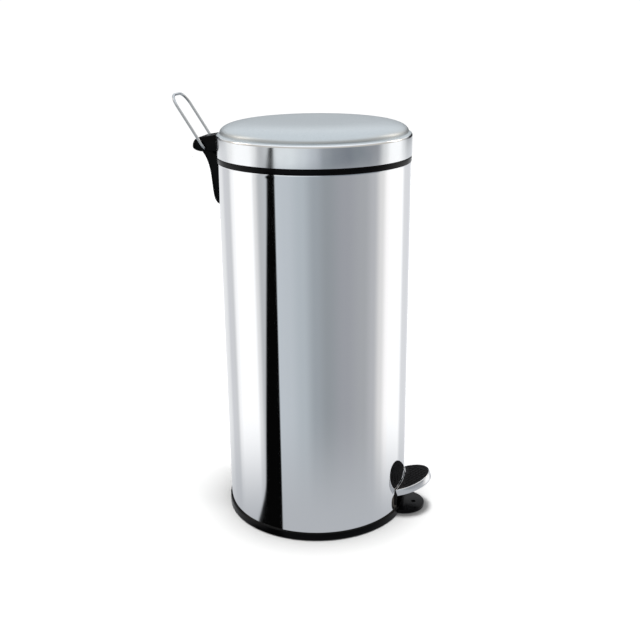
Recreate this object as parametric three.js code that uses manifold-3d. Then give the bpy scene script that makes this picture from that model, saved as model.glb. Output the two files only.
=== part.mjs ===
// Round pedal bin, about 30 litres: polished steel body on a plastic base, hinged steel lid,
// inner bucket, and a pedal that lifts the lid through a lever and a push rod.
// Millimetres, +Z up. The origin is on the floor at the centre of the body; the pedal is
// towards -Y and the lid hinge towards +Y.
import * as THREE from 'three';
import { mergeVertices } from 'three/addons/utils/BufferGeometryUtils.js';
import Module from 'manifold-3d';

const wasm = await Module();
wasm.setup();

// ---------- driving dimensions ----------
const facets = 48; // sides of every large ring, so that nested rings line up
const fit = 0.3; // gap between pieces that touch

const bodyRadius = 146;
const sheet = 0.8; // steel sheet of the body and the lid
const bodyTop = 576;

const trayRing = 2.2; // thickness of the base ring outside the body
const trayRingTop = 13;
const trayRaise = 1; // the ring stands this far off the floor
const trayFloor = 3; // underside of the base floor
const trayFloorThickness = 3;
const trayUpstand = 24; // top of the wall inside the body
const trayUpstandWall = 1.7;
const tongueReach = 36; // how far the base reaches out in front of the body
const tongueHalfWidth = 34;
const tongueTop = 8;
const tongueHole = { radius: 3.75, ahead: 18.4 };

const slotHalfWidth = 35;
const slotTop = 43;
const bezel = { border: 8, bottom: 20, proud: 0.9, rise: 5 };

const pivot = { y: -34, z: 28, radius: 3 }; // axle of the pedal lever
const lever = { halfWidth: 14, thickness: 3, tailHalfWidth: 6, bushWall: 2.7 };
const tread = {
  halfWidth: 42.5, reach: 44.3, tilt: 19.3, top: 50.7, gap: 1.2,
  skirt: 11, wall: 1.2, recess: 2.2, plate: 1,
};

const rivet = { shank: 2.2, head: 4.5, headHeight: 1.5, spread: 10 };
const cradle = { halfLength: 14, plate: 2, earTop: 9 };
const screw = { shank: 1.9, head: 4, headHeight: 2.2, reach: 9.5 };

const rodRadius = 2;
const rodCapRadius = 4;
const rodPlay = 0.7; // between the rod's caps and the screw heads behind them
const rodEndDepth = 3; // how far the rod stops short of the top of its tip
const guide = { halfWidth: 9, ahead: 5.5, height: 12, play: 0.5, heights: [150, bodyTop - 146] };

const hinge = { y: bodyRadius + 21.5, z: bodyTop + 13, pinRadius: 4, boreRadius: 2.6 };
const lidTurn = 60; // degrees the lid opens
const lugRadius = 31.6; // from the hinge axis to the lug that the rod pushes
const lugTip = 2.5;
const lugGap = 0.9;

const lidRadius = bodyRadius + 1.5;
const lidBottom = bodyTop + 5.3;
// where the polished skirt meets the satin top
const lidShoulder = { radius: lidRadius - 5.5, z: lidBottom + 33.6 };
const lidTop = lidBottom + 51.7;
const rimLip = { proud: 1.1, drop: 3.5 }; // the top rim's lip outside the body

const ear = {
  halfWidth: 22, wall: 3, top: hinge.z + 16.1, bottom: hinge.z - 6.2, rear: hinge.y + 20.8,
  screwApart: 24, screwHeight: hinge.z + 8,
};
const leg = {
  halfWidth: 15, bottom: bodyTop - 75, wall: 3, bossEnds: [12.5, 16],
  screws: [bodyTop - 56, bodyTop - 20],
};

const handle = { wire: 2.2, halfWidth: 26.5, height: 92.6, bend: 18, tilt: 32.7, insert: 14.5, corner: 5 };

const bucket = {
  floor: 64.4, top: bodyTop - 10, rimRadius: bodyRadius - 16, topRadius: bodyRadius - 19.4,
  baseRadius: bodyRadius - 28, wall: 1.8,
};
const bail = { wire: 1.8, radius: bodyRadius - 10.8, z: bodyTop - 28, ear: 5, earHalf: 6 };
const grip = { radius: 3.6, halfSpan: 20 };
const seat = {
  plate: 2, underBucket: 0.4, legRadius: 7, legRing: bodyRadius - 16, legAngles: [30, 150, 210, 330],
};
const pad = { radius: 15, ring: bodyRadius - 30, stud: 3 };

// ---------- sizes that follow ----------
const bodyInner = bodyRadius - sheet;
const ringRadius = bodyRadius + fit + trayRing;
const upstandOuter = bodyInner - fit;
const rodY = upstandOuter - screw.headHeight - rodPlay - rodCapRadius;
const floorTop = trayFloor + trayFloorThickness;
const shellBottom = floorTop + fit;
const lugReach = { y: lugRadius * Math.cos(rad(lidTurn / 2)), z: lugRadius * Math.sin(rad(lidTurn / 2)) };
const lug = { y: hinge.y - lugReach.y, z: hinge.z - lugReach.z };
const rodTop = lug.z - lugTip - lugGap;
const rimInner = upstandOuter - 1.5;
const rimTop = lidBottom - fit;
const lidInner = lidRadius - sheet;
const linerOuter = lidInner - fit;
const screwSpan = [bodyRadius - 26, bodyRadius + 14]; // the screw holes at the back run between these

function rad(degrees) {
  return (degrees * Math.PI) / 180;
}

// ---------- materials ----------
function finish(color, roughness, metalness) {
  return new THREE.MeshStandardMaterial({ color, roughness, metalness });
}
const polishedSteel = () => finish(0xd9dbdd, 0.08, 1);
const satinSteel = () => finish(0xc3c9cf, 0.35, 1);
const zincSteel = () => finish(0xa9adb0, 0.4, 1);
const chromeWire = () => finish(0xdadde0, 0.12, 1);
const glossBlack = () => finish(0x141415, 0.25, 0);
const mattBlack = () => finish(0x1c1c1d, 0.6, 0);
const rubber = () => finish(0x18181a, 0.8, 0);
const greyPlastic = () => finish(0x2b2c2e, 0.5, 0);

// ---------- geometry helpers ----------
// Welds a geometry, drops triangles of no area and turns its faces outwards.
function weld(geometry) {
  const bare = geometry.clone();
  bare.deleteAttribute('normal');
  bare.deleteAttribute('uv');
  const welded = mergeVertices(bare, 1e-4);
  const source = welded.getIndex().array;
  const points = welded.getAttribute('position').array;
  const index = [];
  let volume = 0;
  for (let i = 0; i < source.length; i += 3) {
    const [a, b, c] = [source[i], source[i + 1], source[i + 2]];
    if (a === b || b === c || c === a) continue;
    index.push(a, b, c);
    const p = [a, b, c].map((k) => new THREE.Vector3().fromArray(points, k * 3));
    volume += p[0].dot(p[1].clone().cross(p[2]));
  }
  if (volume < 0) index.reverse();
  return { points: new Float32Array(points), index: new Uint32Array(index) };
}

function solid(geometry) {
  const { points, index } = weld(geometry);
  return new wasm.Manifold(new wasm.Mesh({ numProp: 3, vertProperties: points, triVerts: index }));
}

function toGeometry(shape) {
  const mesh = shape.getMesh();
  const geometry = new THREE.BufferGeometry();
  geometry.setAttribute('position', new THREE.BufferAttribute(mesh.vertProperties, 3));
  geometry.setIndex(new THREE.BufferAttribute(mesh.triVerts, 1));
  return geometry;
}

// Turned about the Z axis; the profile is a list of [radius, height].
function turned(profile, sides = facets) {
  const points = profile.map(([r, z]) => new THREE.Vector2(r, z));
  return solid(new THREE.LatheGeometry(points, sides).rotateX(Math.PI / 2));
}

// A closed ring between two radii and two heights.
function ring(inner, outer, low, high, sides = facets) {
  return turned([[inner, low], [outer, low], [outer, high], [inner, high], [inner, low]], sides);
}

function outline(points) {
  return new THREE.Shape(points.map(([a, b]) => new THREE.Vector2(a, b)));
}

function extruded(shape, depth, basis, shift) {
  const geometry = new THREE.ExtrudeGeometry(shape, { depth, bevelEnabled: false, curveSegments: 6 });
  geometry.applyMatrix4(new THREE.Matrix4().makeBasis(...basis));
  return solid(geometry.translate(...shift));
}

const axisX = new THREE.Vector3(1, 0, 0);
const axisY = new THREE.Vector3(0, 1, 0);
const axisZ = new THREE.Vector3(0, 0, 1);

// A side outline in (y, z), as thick as from x0 to x1.
function sideSlab(shape, x0, x1) {
  return extruded(shape, x1 - x0, [axisY, axisZ, axisX], [x0, 0, 0]);
}

// A front outline in (x, z), from y0 to y1.
function frontSlab(shape, y0, y1) {
  return extruded(shape, y1 - y0, [axisX, axisZ, axisY.clone().negate()], [0, y1, 0]);
}

// A plan outline in (x, y), from z0 to z1.
function planSlab(shape, z0, z1) {
  return extruded(shape, z1 - z0, [axisX, axisY, axisZ], [0, 0, z0]);
}

function block(x0, x1, y0, y1, z0, z1) {
  const geometry = new THREE.BoxGeometry(x1 - x0, y1 - y0, z1 - z0);
  return solid(geometry.translate((x0 + x1) / 2, (y0 + y1) / 2, (z0 + z1) / 2));
}

// A round bar along one axis, from a to b, through the point given by the other two coordinates.
function bar(axis, radius, a, b, at, sides = 16) {
  const geometry = new THREE.CylinderGeometry(radius, radius, b - a, sides);
  if (axis === 'x') geometry.rotateZ(Math.PI / 2).translate((a + b) / 2, at[0], at[1]);
  if (axis === 'y') geometry.translate(at[0], (a + b) / 2, at[1]);
  if (axis === 'z') geometry.rotateX(Math.PI / 2).translate(at[0], at[1], (a + b) / 2);
  return solid(geometry);
}

function cut(shape, ...tools) {
  return tools.reduce((left, tool) => left.subtract(tool), shape);
}

function join(shape, ...others) {
  return others.reduce((whole, other) => whole.add(other), shape);
}

// A wire along a curve, with flat ends; a bore makes it a tube.
function wire(path, radius, steps, bore = 0) {
  const section = new THREE.Shape().absarc(0, 0, radius, 0, 2 * Math.PI);
  if (bore > 0) section.holes.push(new THREE.Path().absarc(0, 0, bore, 0, 2 * Math.PI));
  return new THREE.ExtrudeGeometry(section, { steps, extrudePath: path, curveSegments: 4 });
}

const can = new THREE.Group();

function add(name, shape, material, parent = can) {
  const geometry = shape.isBufferGeometry ? shape : toGeometry(shape);
  const mesh = new THREE.Mesh(geometry, material);
  mesh.name = name;
  parent.add(mesh);
  return mesh;
}

// ---------- body and base ----------
function tongueOutline() {
  const shape = new THREE.Shape();
  shape.moveTo(tongueHalfWidth, 10 - bodyRadius);
  shape.lineTo(tongueHalfWidth, -bodyRadius);
  shape.absellipse(0, -bodyRadius, tongueHalfWidth, tongueReach, 0, Math.PI, true);
  shape.lineTo(-tongueHalfWidth, 10 - bodyRadius);
  return shape;
}

function padPlaces() {
  const corners = [45, 135, 225, 315].map((a) => [pad.ring * Math.cos(rad(a)), pad.ring * Math.sin(rad(a))]);
  return [[0, 0], ...corners];
}

function baseTray() {
  const edge = 0.8;
  const body = turned([
    [0, trayFloor], [ringRadius - 10, trayFloor], [ringRadius - 8, trayRaise],
    [ringRadius - edge, trayRaise], [ringRadius, trayRaise + edge],
    [ringRadius, trayRingTop - edge], [ringRadius - edge, trayRingTop],
    [bodyRadius + fit, trayRingTop], [bodyRadius + fit, floorTop], [upstandOuter, floorTop],
    [upstandOuter, trayUpstand], [upstandOuter - trayUpstandWall, trayUpstand],
    [upstandOuter - trayUpstandWall, floorTop], [0, floorTop],
  ]);
  const tongue = cut(
    planSlab(tongueOutline(), trayRaise, tongueTop),
    bar('z', ringRadius - 1, 0, trayRingTop, [0, 0], facets),
  );
  const notchHalf = slotHalfWidth - 3;
  const notch = block(-notchHalf, notchHalf, -ringRadius - 2, -upstandOuter + 6, tongueTop, trayUpstand + 1);
  const hole = bar('z', tongueHole.radius, -1, trayRingTop, [0, -bodyRadius - tongueHole.ahead]);
  const studHoles = padPlaces().map((at) => bar('z', pad.stud + fit, 0, floorTop + 1, at, 12));
  const rivetHoles = rivetPlaces().map((at) => bar('z', rivet.shank + fit, 0, floorTop + 1, at, 12));
  return cut(join(body, tongue), notch, hole, ...studHoles, ...rivetHoles);
}

function footPad(at) {
  const disc = bar('z', pad.radius, 0, trayFloor - fit, at, 24);
  return join(disc, bar('z', pad.stud, 1, floorTop - fit, at, 12));
}

function outerShell() {
  const slot = block(-slotHalfWidth, slotHalfWidth, -bodyRadius - 5, -bodyRadius + 20, 0, slotTop);
  const screws = leg.screws.map((z) => bar('y', screw.shank + fit, ...screwSpan, [0, z], 12));
  return cut(ring(bodyInner, bodyRadius, shellBottom, bodyTop), slot, ...screws);
}

function pedalBezel() {
  const outer = slotHalfWidth + bezel.border;
  const inner = slotHalfWidth + 0.5;
  const top = slotTop + bezel.rise;
  const shape = outline([
    [-outer, bezel.bottom], [-inner, bezel.bottom], [-inner, slotTop - 0.5], [inner, slotTop - 0.5],
    [inner, bezel.bottom], [outer, bezel.bottom], [outer, top - 6], [outer - 1.5, top - 3],
    [outer - 5, top], [5 - outer, top], [1.5 - outer, top - 3], [-outer, top - 6],
  ]);
  const band = ring(bodyRadius + fit, bodyRadius + fit + bezel.proud, bezel.bottom - 1, top + 1);
  return band.intersect(frontSlab(shape, -bodyRadius - 5, -bodyRadius + 20));
}

// A plastic ring pressed over the body's top edge.
function topRim() {
  const edge = 0.8;
  const lip = bodyRadius + rimLip.proud;
  const drop = bodyTop - rimLip.drop;
  return turned([
    [rimInner, bodyTop - 16], [upstandOuter, bodyTop - 16], [upstandOuter, bodyTop + fit],
    [bodyRadius + fit, bodyTop + fit], [bodyRadius + fit, drop], [lip, drop],
    [lip, rimTop - edge], [lip - edge, rimTop], [rimInner, rimTop], [rimInner, bodyTop - 16],
  ]);
}

// ---------- pedal mechanism ----------
function rivetPlaces() {
  return [[0, pivot.y - rivet.spread], [0, pivot.y + rivet.spread]];
}

function axleBracket() {
  const inner = lever.halfWidth + 1;
  const outer = inner + cradle.plate;
  const low = floorTop + fit;
  const top = pivot.z + cradle.earTop;
  const shape = outline([
    [-outer, low], [outer, low], [outer, top], [inner, top], [inner, low + cradle.plate],
    [-inner, low + cradle.plate], [-inner, top], [-outer, top],
  ]);
  const frame = frontSlab(shape, pivot.y - cradle.halfLength, pivot.y + cradle.halfLength);
  const bore = bar('x', pivot.radius + fit + 0.1, -outer - 1, outer + 1, [pivot.y, pivot.z]);
  const holes = rivetPlaces().map((at) => bar('z', rivet.shank + fit, 0, low + 5, at, 12));
  return cut(frame, bore, ...holes);
}

function bracketRivet(at) {
  const seat = floorTop + fit + cradle.plate + fit;
  const shank = bar('z', rivet.shank, trayFloor + fit, seat + 0.5, at, 12);
  return join(shank, bar('z', rivet.head, seat, seat + rivet.headHeight, at, 12));
}

function leverAxle() {
  const end = lever.halfWidth + cradle.plate + 4;
  const head = bar('x', pivot.radius + 1.6, -end - 1.6, -end + 0.4, [pivot.y, pivot.z]);
  return join(bar('x', pivot.radius, -end, end, [pivot.y, pivot.z]), head);
}

function axleClip() {
  const start = lever.halfWidth + cradle.plate + 1 + fit;
  const disc = bar('x', pivot.radius + 2.5, start, start + 1.2, [pivot.y, pivot.z]);
  return cut(disc, bar('x', pivot.radius + fit, start - 1, start + 3, [pivot.y, pivot.z]));
}

// The outline of a strip of even thickness along a list of [y, z] points.
function stripOutline(points, thickness) {
  const line = points.map(([y, z]) => new THREE.Vector2(y, z));
  const left = [];
  const right = [];
  line.forEach((p, i) => {
    const before = line[Math.max(i - 1, 0)];
    const after = line[Math.min(i + 1, line.length - 1)];
    const into = p.clone().sub(before).normalize();
    const out = after.clone().sub(p).normalize();
    const along = into.add(out).normalize();
    const normal = new THREE.Vector2(-along.y, along.x);
    const first = i === 0 || i === line.length - 1;
    const turn = first ? 1 : Math.abs(normal.dot(new THREE.Vector2(-out.y, out.x)));
    const offset = normal.multiplyScalar(thickness / 2 / turn);
    left.push([p.x + offset.x, p.y + offset.y]);
    right.unshift([p.x - offset.x, p.y - offset.y]);
  });
  return outline([...left, ...right]);
}

// A point of the tread's side view: forward along the tread, and below its top face.
function treadPoint(forward, below) {
  const t = rad(tread.tilt);
  return [
    -bodyRadius - tread.gap - forward * Math.cos(t) - below * Math.sin(t),
    tread.top + forward * Math.sin(t) - below * Math.cos(t),
  ];
}

const leverTail = { y: rodY + 2.5, z: 14 };
const leverDepth = tread.recess + tread.plate + fit + lever.thickness / 2;

function leverLine() {
  return [
    [leverTail.y, leverTail.z], [pivot.y, pivot.z + 5], [-bodyRadius - 5, pivot.z + 9],
    treadPoint(9, leverDepth), treadPoint(30, leverDepth),
  ];
}

function pedalLever() {
  const strip = sideSlab(stripOutline(leverLine(), lever.thickness), -lever.halfWidth, lever.halfWidth);
  const taper = [1, -1].map((side) => {
    const [narrow, wide, out] = [lever.tailHalfWidth, lever.halfWidth, 40].map((x) => side * x);
    const back = leverTail.y + 5;
    const front = pivot.y + 40;
    const shape = [[narrow, back], [narrow, back - 17], [wide, front], [out, front], [out, back]];
    return planSlab(outline(shape), 0, slotTop);
  });
  const [half, at] = [lever.halfWidth, [pivot.y, pivot.z]];
  const bush = bar('x', pivot.radius + fit + lever.bushWall, -half, half, at);
  const bore = bar('x', pivot.radius + fit, -half - 1, half + 1, at);
  const holes = treadRivetPlaces().map((place) => treadHole(place, rivet.shank + fit));
  return cut(join(cut(strip, ...taper), bush), bore, ...holes);
}

const treadFrame = new THREE.Group();
treadFrame.position.set(0, -bodyRadius - tread.gap, tread.top);
treadFrame.rotation.x = -rad(tread.tilt);
can.add(treadFrame);

// The tread's outline in its own plane: x across, -y forward. Its rear edge follows the body.
function treadOutline(inset) {
  const half = tread.halfWidth - inset;
  const rear = bodyRadius + tread.gap;
  const slope = Math.cos(rad(tread.tilt));
  const shape = new THREE.Shape();
  const steps = 8;
  for (let i = 0; i <= steps; i += 1) {
    const x = -half + (2 * half * i) / steps;
    const y = (rear - Math.sqrt(rear * rear - x * x)) / slope - inset;
    if (i === 0) shape.moveTo(x, y);
    else shape.lineTo(x, y);
  }
  shape.lineTo(half, 0);
  const front = 16;
  for (let i = 1; i <= front; i += 1) {
    const a = (Math.PI * i) / front;
    shape.lineTo(half * Math.cos(a), -(tread.reach - inset) * Math.sin(a));
  }
  return shape;
}

function treadRivetPlaces() {
  return [[-8, 18], [8, 18]];
}

// A bore through the tread and the lever, square to the tread's face, in the can's frame.
function treadHole([x, forward], radius) {
  const geometry = new THREE.CylinderGeometry(radius, radius, 20, 12).rotateX(Math.PI / 2);
  geometry.translate(x, -forward, -5);
  treadFrame.updateMatrix();
  return solid(geometry.applyMatrix4(treadFrame.matrix));
}

function pedalTread() {
  const plateLow = -tread.recess - tread.plate;
  const body = planSlab(treadOutline(0), -tread.skirt, 0);
  const recess = planSlab(treadOutline(tread.wall), -tread.recess, 1);
  const under = planSlab(treadOutline(tread.wall), -tread.skirt - 1, plateLow);
  const innerHalf = tread.halfWidth - tread.wall;
  const back = block(-innerHalf, innerHalf, -tread.wall - 1, 12, -tread.skirt - 1, plateLow);
  const holes = treadRivetPlaces().map(([x, forward]) =>
    bar('z', rivet.shank + fit, plateLow - 1, 1, [x, -forward], 12));
  return cut(body, recess, under, back, ...holes);
}

function treadPad() {
  const low = fit - tread.recess;
  const mat = planSlab(treadOutline(tread.wall + fit), low, 0.3);
  const pockets = treadRivetPlaces().map(([x, forward]) =>
    bar('z', rivet.head + fit, low - 1, low + rivet.headHeight - 0.4, [x, -forward], 12));
  return cut(mat, ...pockets);
}

function treadRivet([x, forward]) {
  const top = fit - tread.recess;
  const tail = top - fit - tread.plate - lever.thickness - 2 * fit;
  const head = bar('z', rivet.head, top, top + 0.8, [x, -forward], 12);
  const shank = bar('z', rivet.shank, tail - 1, top + 0.2, [x, -forward], 12);
  return join(head, shank);
}

const rodLow = leverTail.z + 6;
const rodHigh = rodTop - rodEndDepth;

function pushRod() {
  return bar('z', rodRadius, rodLow, rodHigh, [0, rodY]);
}

// A plastic cap over one end of the rod.
function rodCap(low, high, boreLow, boreHigh) {
  return cut(
    bar('z', rodCapRadius, low, high, [0, rodY]),
    bar('z', rodRadius + fit, boreLow, boreHigh, [0, rodY]),
  );
}

function rodGuide(z) {
  const top = z + guide.height;
  const shape = block(-guide.halfWidth, guide.halfWidth, rodY - guide.ahead, bodyRadius, z, top);
  const bore = bar('z', rodRadius + guide.play, z - 1, top + 1, [0, rodY]);
  return cut(shape.intersect(bar('z', upstandOuter, z - 1, top + 1, [0, 0], facets)), bore);
}

// A round plate on four legs, which keeps the bucket above the lever.
function bucketSeat() {
  const top = bucket.floor - seat.underBucket;
  const low = top - seat.plate;
  const plate = bar('z', upstandOuter - fit, low, top, [0, 0], facets);
  const legs = seat.legAngles.map((a) => {
    const at = [seat.legRing * Math.cos(rad(a)), seat.legRing * Math.sin(rad(a))];
    return bar('z', seat.legRadius, floorTop + fit, low + 1, at);
  });
  const rodGap = block(-guide.halfWidth, guide.halfWidth, rodY - 7, bodyRadius, low - 1, top + 1);
  return cut(join(plate, ...legs), rodGap);
}

// ---------- hinge at the back ----------
// Side outline of the hinge leg: it hugs the body and flares into the hinge at the top.
function legOutline() {
  const foot = leg.bottom;
  const shape = new THREE.Shape();
  shape.moveTo(bodyRadius - 6, foot);
  shape.lineTo(bodyRadius + 4, foot);
  shape.quadraticCurveTo(bodyRadius + 11.5, foot + 1.5, bodyRadius + 13.9, foot + 16);
  shape.lineTo(bodyRadius + 16, foot + 36);
  shape.quadraticCurveTo(bodyRadius + 17.4, foot + 59, bodyRadius + 23.4, foot + 71);
  shape.quadraticCurveTo(bodyRadius + 25.5, foot + 76, bodyRadius + 28.5, foot + 80);
  shape.lineTo(hinge.y + 8, hinge.z - 4);
  shape.lineTo(hinge.y - 8, hinge.z - 4);
  shape.lineTo(bodyRadius + 3.5, bodyTop + 2);
  shape.lineTo(bodyRadius + 1.4, bodyTop);
  shape.lineTo(bodyRadius - 6, bodyTop);
  return shape;
}

function hingeBracket() {
  const wall = leg.wall;
  const half = leg.halfWidth;
  const knuckle = bar('x', hinge.pinRadius + 5, -half, half, [hinge.y, hinge.z], 24);
  const bore = bar('x', hinge.pinRadius + fit + 0.1, -half - 1, half + 1, [hinge.y, hinge.z]);
  const hollow = sideSlab(outline([
    [bodyRadius - 10, leg.bottom + 6], [bodyRadius + 5, leg.bottom + 6],
    [bodyRadius + 10.4, leg.bottom + 15], [bodyRadius + 12.6, leg.bottom + 36],
    [bodyRadius + 14, leg.bottom + 52], [bodyRadius + 17.5, leg.bottom + 66],
    [bodyRadius + 10, bodyTop - 4], [bodyRadius - 10, bodyTop - 4],
  ]), wall - half, half - wall);
  const bosses = leg.screws.map((z, i) =>
    bar('y', 4, bodyRadius + 2.6, bodyRadius + leg.bossEnds[i], [0, z], 12));
  const threads = leg.screws.map((z) =>
    bar('y', screw.shank + fit, bodyRadius - 2, bodyRadius + screw.reach + fit, [0, z], 12));
  const skin = bar('z', bodyRadius + fit, 0, bodyTop + 1, [0, 0], facets);
  const lip = bar('z', bodyRadius + rimLip.proud + fit, bodyTop - 6, rimTop + 1, [0, 0], facets);
  const body = join(cut(sideSlab(legOutline(), -half, half), hollow), ...bosses, knuckle);
  return cut(body, bore, skin, lip, ...threads);
}

function bracketBackplate() {
  const half = leg.halfWidth - leg.wall - 0.5;
  const band = ring(bodyRadius + fit, bodyRadius + fit + 1.5, leg.bottom + 8, bodyTop - 6);
  const shape = outline([
    [-half, leg.bottom + 8], [half, leg.bottom + 8], [half, bodyTop - 7], [-half, bodyTop - 7],
  ]);
  const holes = leg.screws.map((z) => bar('y', screw.shank + fit, ...screwSpan, [0, z], 12));
  return cut(band.intersect(frontSlab(shape, bodyRadius - 10, bodyRadius + 10)), ...holes);
}

function legScrew(z) {
  const seat = bodyInner - fit;
  const head = bar('y', screw.head, seat - screw.headHeight, seat, [0, z], 12);
  return join(head, bar('y', screw.shank, seat - 1, bodyRadius + screw.reach, [0, z], 12));
}

function hingePin() {
  const end = ear.halfWidth - fit;
  const tube = bar('x', hinge.pinRadius, -end, end, [hinge.y, hinge.z]);
  return cut(tube, bar('x', hinge.boreRadius, -end - 1, end + 1, [hinge.y, hinge.z]));
}

function earOutline() {
  const shape = new THREE.Shape();
  const front = bodyRadius - 6;
  shape.moveTo(front, ear.bottom);
  shape.lineTo(ear.rear - 17, ear.bottom);
  shape.bezierCurveTo(ear.rear - 6, ear.bottom + 0.6, ear.rear, ear.bottom + 3.5, ear.rear, ear.bottom + 8);
  shape.bezierCurveTo(ear.rear, ear.bottom + 15, ear.rear - 4, ear.top - 1.5, ear.rear - 12, ear.top);
  shape.lineTo(lidRadius, ear.top + 4.9);
  shape.lineTo(front, ear.top + 5);
  return shape;
}

// The lid's half of the hinge: its cheeks drop over the pin through slots open at the bottom.
function hingeEar() {
  const clear = bar('z', lidRadius + fit, lidBottom - 10, lidTop, [0, 0], facets);
  const front = lidRadius + 4.5;
  const w = ear.wall;
  const hollow = sideSlab(outline([
    [front, ear.bottom - 5], [ear.rear + 5, ear.bottom - 5], [ear.rear + 5, ear.bottom + 12.2],
    [ear.rear - w - 0.4, ear.bottom + 12.2], [ear.rear - w - 4, ear.top - w - 4.5],
    [ear.rear - w - 9.5, ear.top - w], [front, ear.top - w + 3],
  ]), w - ear.halfWidth, ear.halfWidth - w);
  const half = ear.halfWidth;
  const slotHalf = hinge.pinRadius + fit + 0.1;
  const bore = bar('x', slotHalf, -half - 1, half + 1, [hinge.y, hinge.z]);
  const mouth = block(-half - 1, half + 1, hinge.y - slotHalf, hinge.y + slotHalf, ear.bottom - 1, hinge.z);
  const holes = earScrewPlaces().map((at) => bar('y', screw.shank + fit, ...screwSpan, at, 12));
  return cut(sideSlab(earOutline(), -half, half), clear, hollow, bore, mouth, ...holes);
}

function earScrewPlaces() {
  return [-1, 1].map((side) => [(side * ear.screwApart) / 2, ear.screwHeight]);
}

function earScrew([x, z]) {
  const seat = Math.sqrt(linerInner ** 2 - (Math.abs(x) + screw.head) ** 2) - fit;
  const head = bar('y', screw.head, seat - screw.headHeight, seat, [x, z], 12);
  return join(head, bar('y', screw.shank, seat - 1, lidRadius + 3.6, [x, z], 12));
}

// ---------- lid ----------
const linerInner = linerOuter - 2.8;
const linerBottom = rimTop + 2.7;
const linerWeb = { bottom: lidBottom + 20.7, height: 2.4, inner: lidRadius - 29.5 };
const lidBuffer = { halfWidth: 0.6, halfAngle: 5, angles: [30, 150, 270] };

// Height of the lid's satin top at a radius: a flat crown with a rounded shoulder.
function crown(radius, rise) {
  return lidShoulder.z + rise * (1 - (radius / lidShoulder.radius) ** 5) ** (1 / 2.3);
}

function lidShell() {
  const rise = lidTop - lidShoulder.z;
  const radii = [0, 0.56, 0.775, 0.887, 0.958, 0.993].map((share) => share * lidShoulder.radius);
  const outer = radii.map((r) => [r, crown(r, rise)]);
  const shrink = 1 - sheet / lidShoulder.radius;
  const inner = radii.map((r) => [r * shrink, crown(r, rise) - sheet]).reverse();
  const edge = [
    [lidShoulder.radius, lidShoulder.z], [lidRadius - 1.4, lidShoulder.z - 1.6],
    [lidRadius, lidShoulder.z - 5.5], [lidRadius, lidBottom],
  ];
  const under = [
    [lidInner, lidBottom], [lidInner, lidShoulder.z - 5.5],
    [lidShoulder.radius - sheet, lidShoulder.z - sheet],
  ];
  const holes = earScrewPlaces().map((at) => bar('y', screw.shank + fit, ...screwSpan, at, 12));
  return cut(turned([...outer, ...edge, ...under, ...inner]), ...holes);
}

function lidLiner() {
  const low = linerWeb.bottom;
  const top = low + linerWeb.height;
  const collar = turned([
    [linerInner, linerBottom], [linerOuter, linerBottom], [linerOuter, top],
    [linerWeb.inner, top], [linerWeb.inner, low], [linerInner, low], [linerInner, linerBottom],
  ]);
  const arm = block(-5, 5, lug.y - 3, lug.y + 1.3, lug.z, low + 1);
  const tip = bar('x', lugTip, -5, 5, [lug.y, lug.z]);
  const holes = earScrewPlaces().map((at) => bar('y', screw.shank + fit, ...screwSpan, at, 12));
  return cut(join(collar, arm, tip), ...holes);
}

// A short rubber strip under the liner, which lands on the top rim when the lid closes.
function lidBufferStrip(angle) {
  const r = (rimInner + bodyRadius - 0.9) / 2;
  const band = ring(r - lidBuffer.halfWidth, r + lidBuffer.halfWidth, rimTop + fit, linerBottom - fit);
  const sector = [-1, 1].map((side) => {
    const a = rad(angle + side * lidBuffer.halfAngle);
    return [2 * r * Math.cos(a), 2 * r * Math.sin(a)];
  });
  return band.intersect(planSlab(outline([[0, 0], ...sector]), rimTop, linerBottom));
}

// ---------- carrying handle ----------
function handlePath() {
  const { halfWidth: w, height, bend, insert, corner } = handle;
  const path = new THREE.CurvePath();
  const at = (x, s) => new THREE.Vector3(x, 0, s);
  const arc = (cx, cs, r, from, to) => {
    const points = [];
    const steps = 16;
    for (let i = 0; i <= steps; i += 1) {
      const a = rad(from + ((to - from) * i) / steps);
      points.push(at(cx + r * Math.cos(a), cs + r * Math.sin(a)));
    }
    return new THREE.CatmullRomCurve3(points);
  };
  path.add(new THREE.LineCurve3(at(insert - w, 0), at(corner - w, 0)));
  path.add(arc(corner - w, corner, corner, 270, 180));
  path.add(new THREE.LineCurve3(at(-w, corner), at(-w, height - bend)));
  path.add(arc(bend - w, height - bend, bend, 180, 90));
  path.add(new THREE.LineCurve3(at(bend - w, height), at(w - bend, height)));
  path.add(arc(w - bend, height - bend, bend, 90, 0));
  path.add(new THREE.LineCurve3(at(w, height - bend), at(w, corner)));
  path.add(arc(w - corner, corner, corner, 0, -90));
  path.add(new THREE.LineCurve3(at(w - corner, 0), at(w - insert, 0)));
  return path;
}

function carryHandle() {
  const mesh = add('carry_handle', toGeometry(solid(wire(handlePath(), handle.wire, 72))), chromeWire());
  mesh.position.set(0, hinge.y, hinge.z);
  mesh.rotation.x = -rad(handle.tilt);
}

// ---------- inner bucket ----------
function innerBucket() {
  const { floor, top, rimRadius, topRadius, baseRadius, wall } = bucket;
  const body = turned([
    [0, floor], [baseRadius - 3, floor], [baseRadius, floor + 2.6], [topRadius, top - 8],
    [rimRadius, top - 8], [rimRadius, top], [topRadius - wall, top],
    [baseRadius - wall, floor + 3], [baseRadius - 4, floor + 2], [0, floor + 2],
  ]);
  const ears = [-1, 1].map((side) => {
    const x = [side * (topRadius - 1), side * (topRadius + bail.ear)].sort((a, b) => a - b);
    return block(x[0], x[1], -bail.earHalf, bail.earHalf, bail.z - bail.earHalf, bail.z + bail.earHalf);
  });
  const bores = [-1, 1].map((side) => {
    const x = [side * (topRadius + 0.6), side * (topRadius + 9)].sort((a, b) => a - b);
    return bar('x', bail.wire + 0.4, x[0], x[1], [0, bail.z], 12);
  });
  return cut(join(body, ...ears), ...bores);
}

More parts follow.
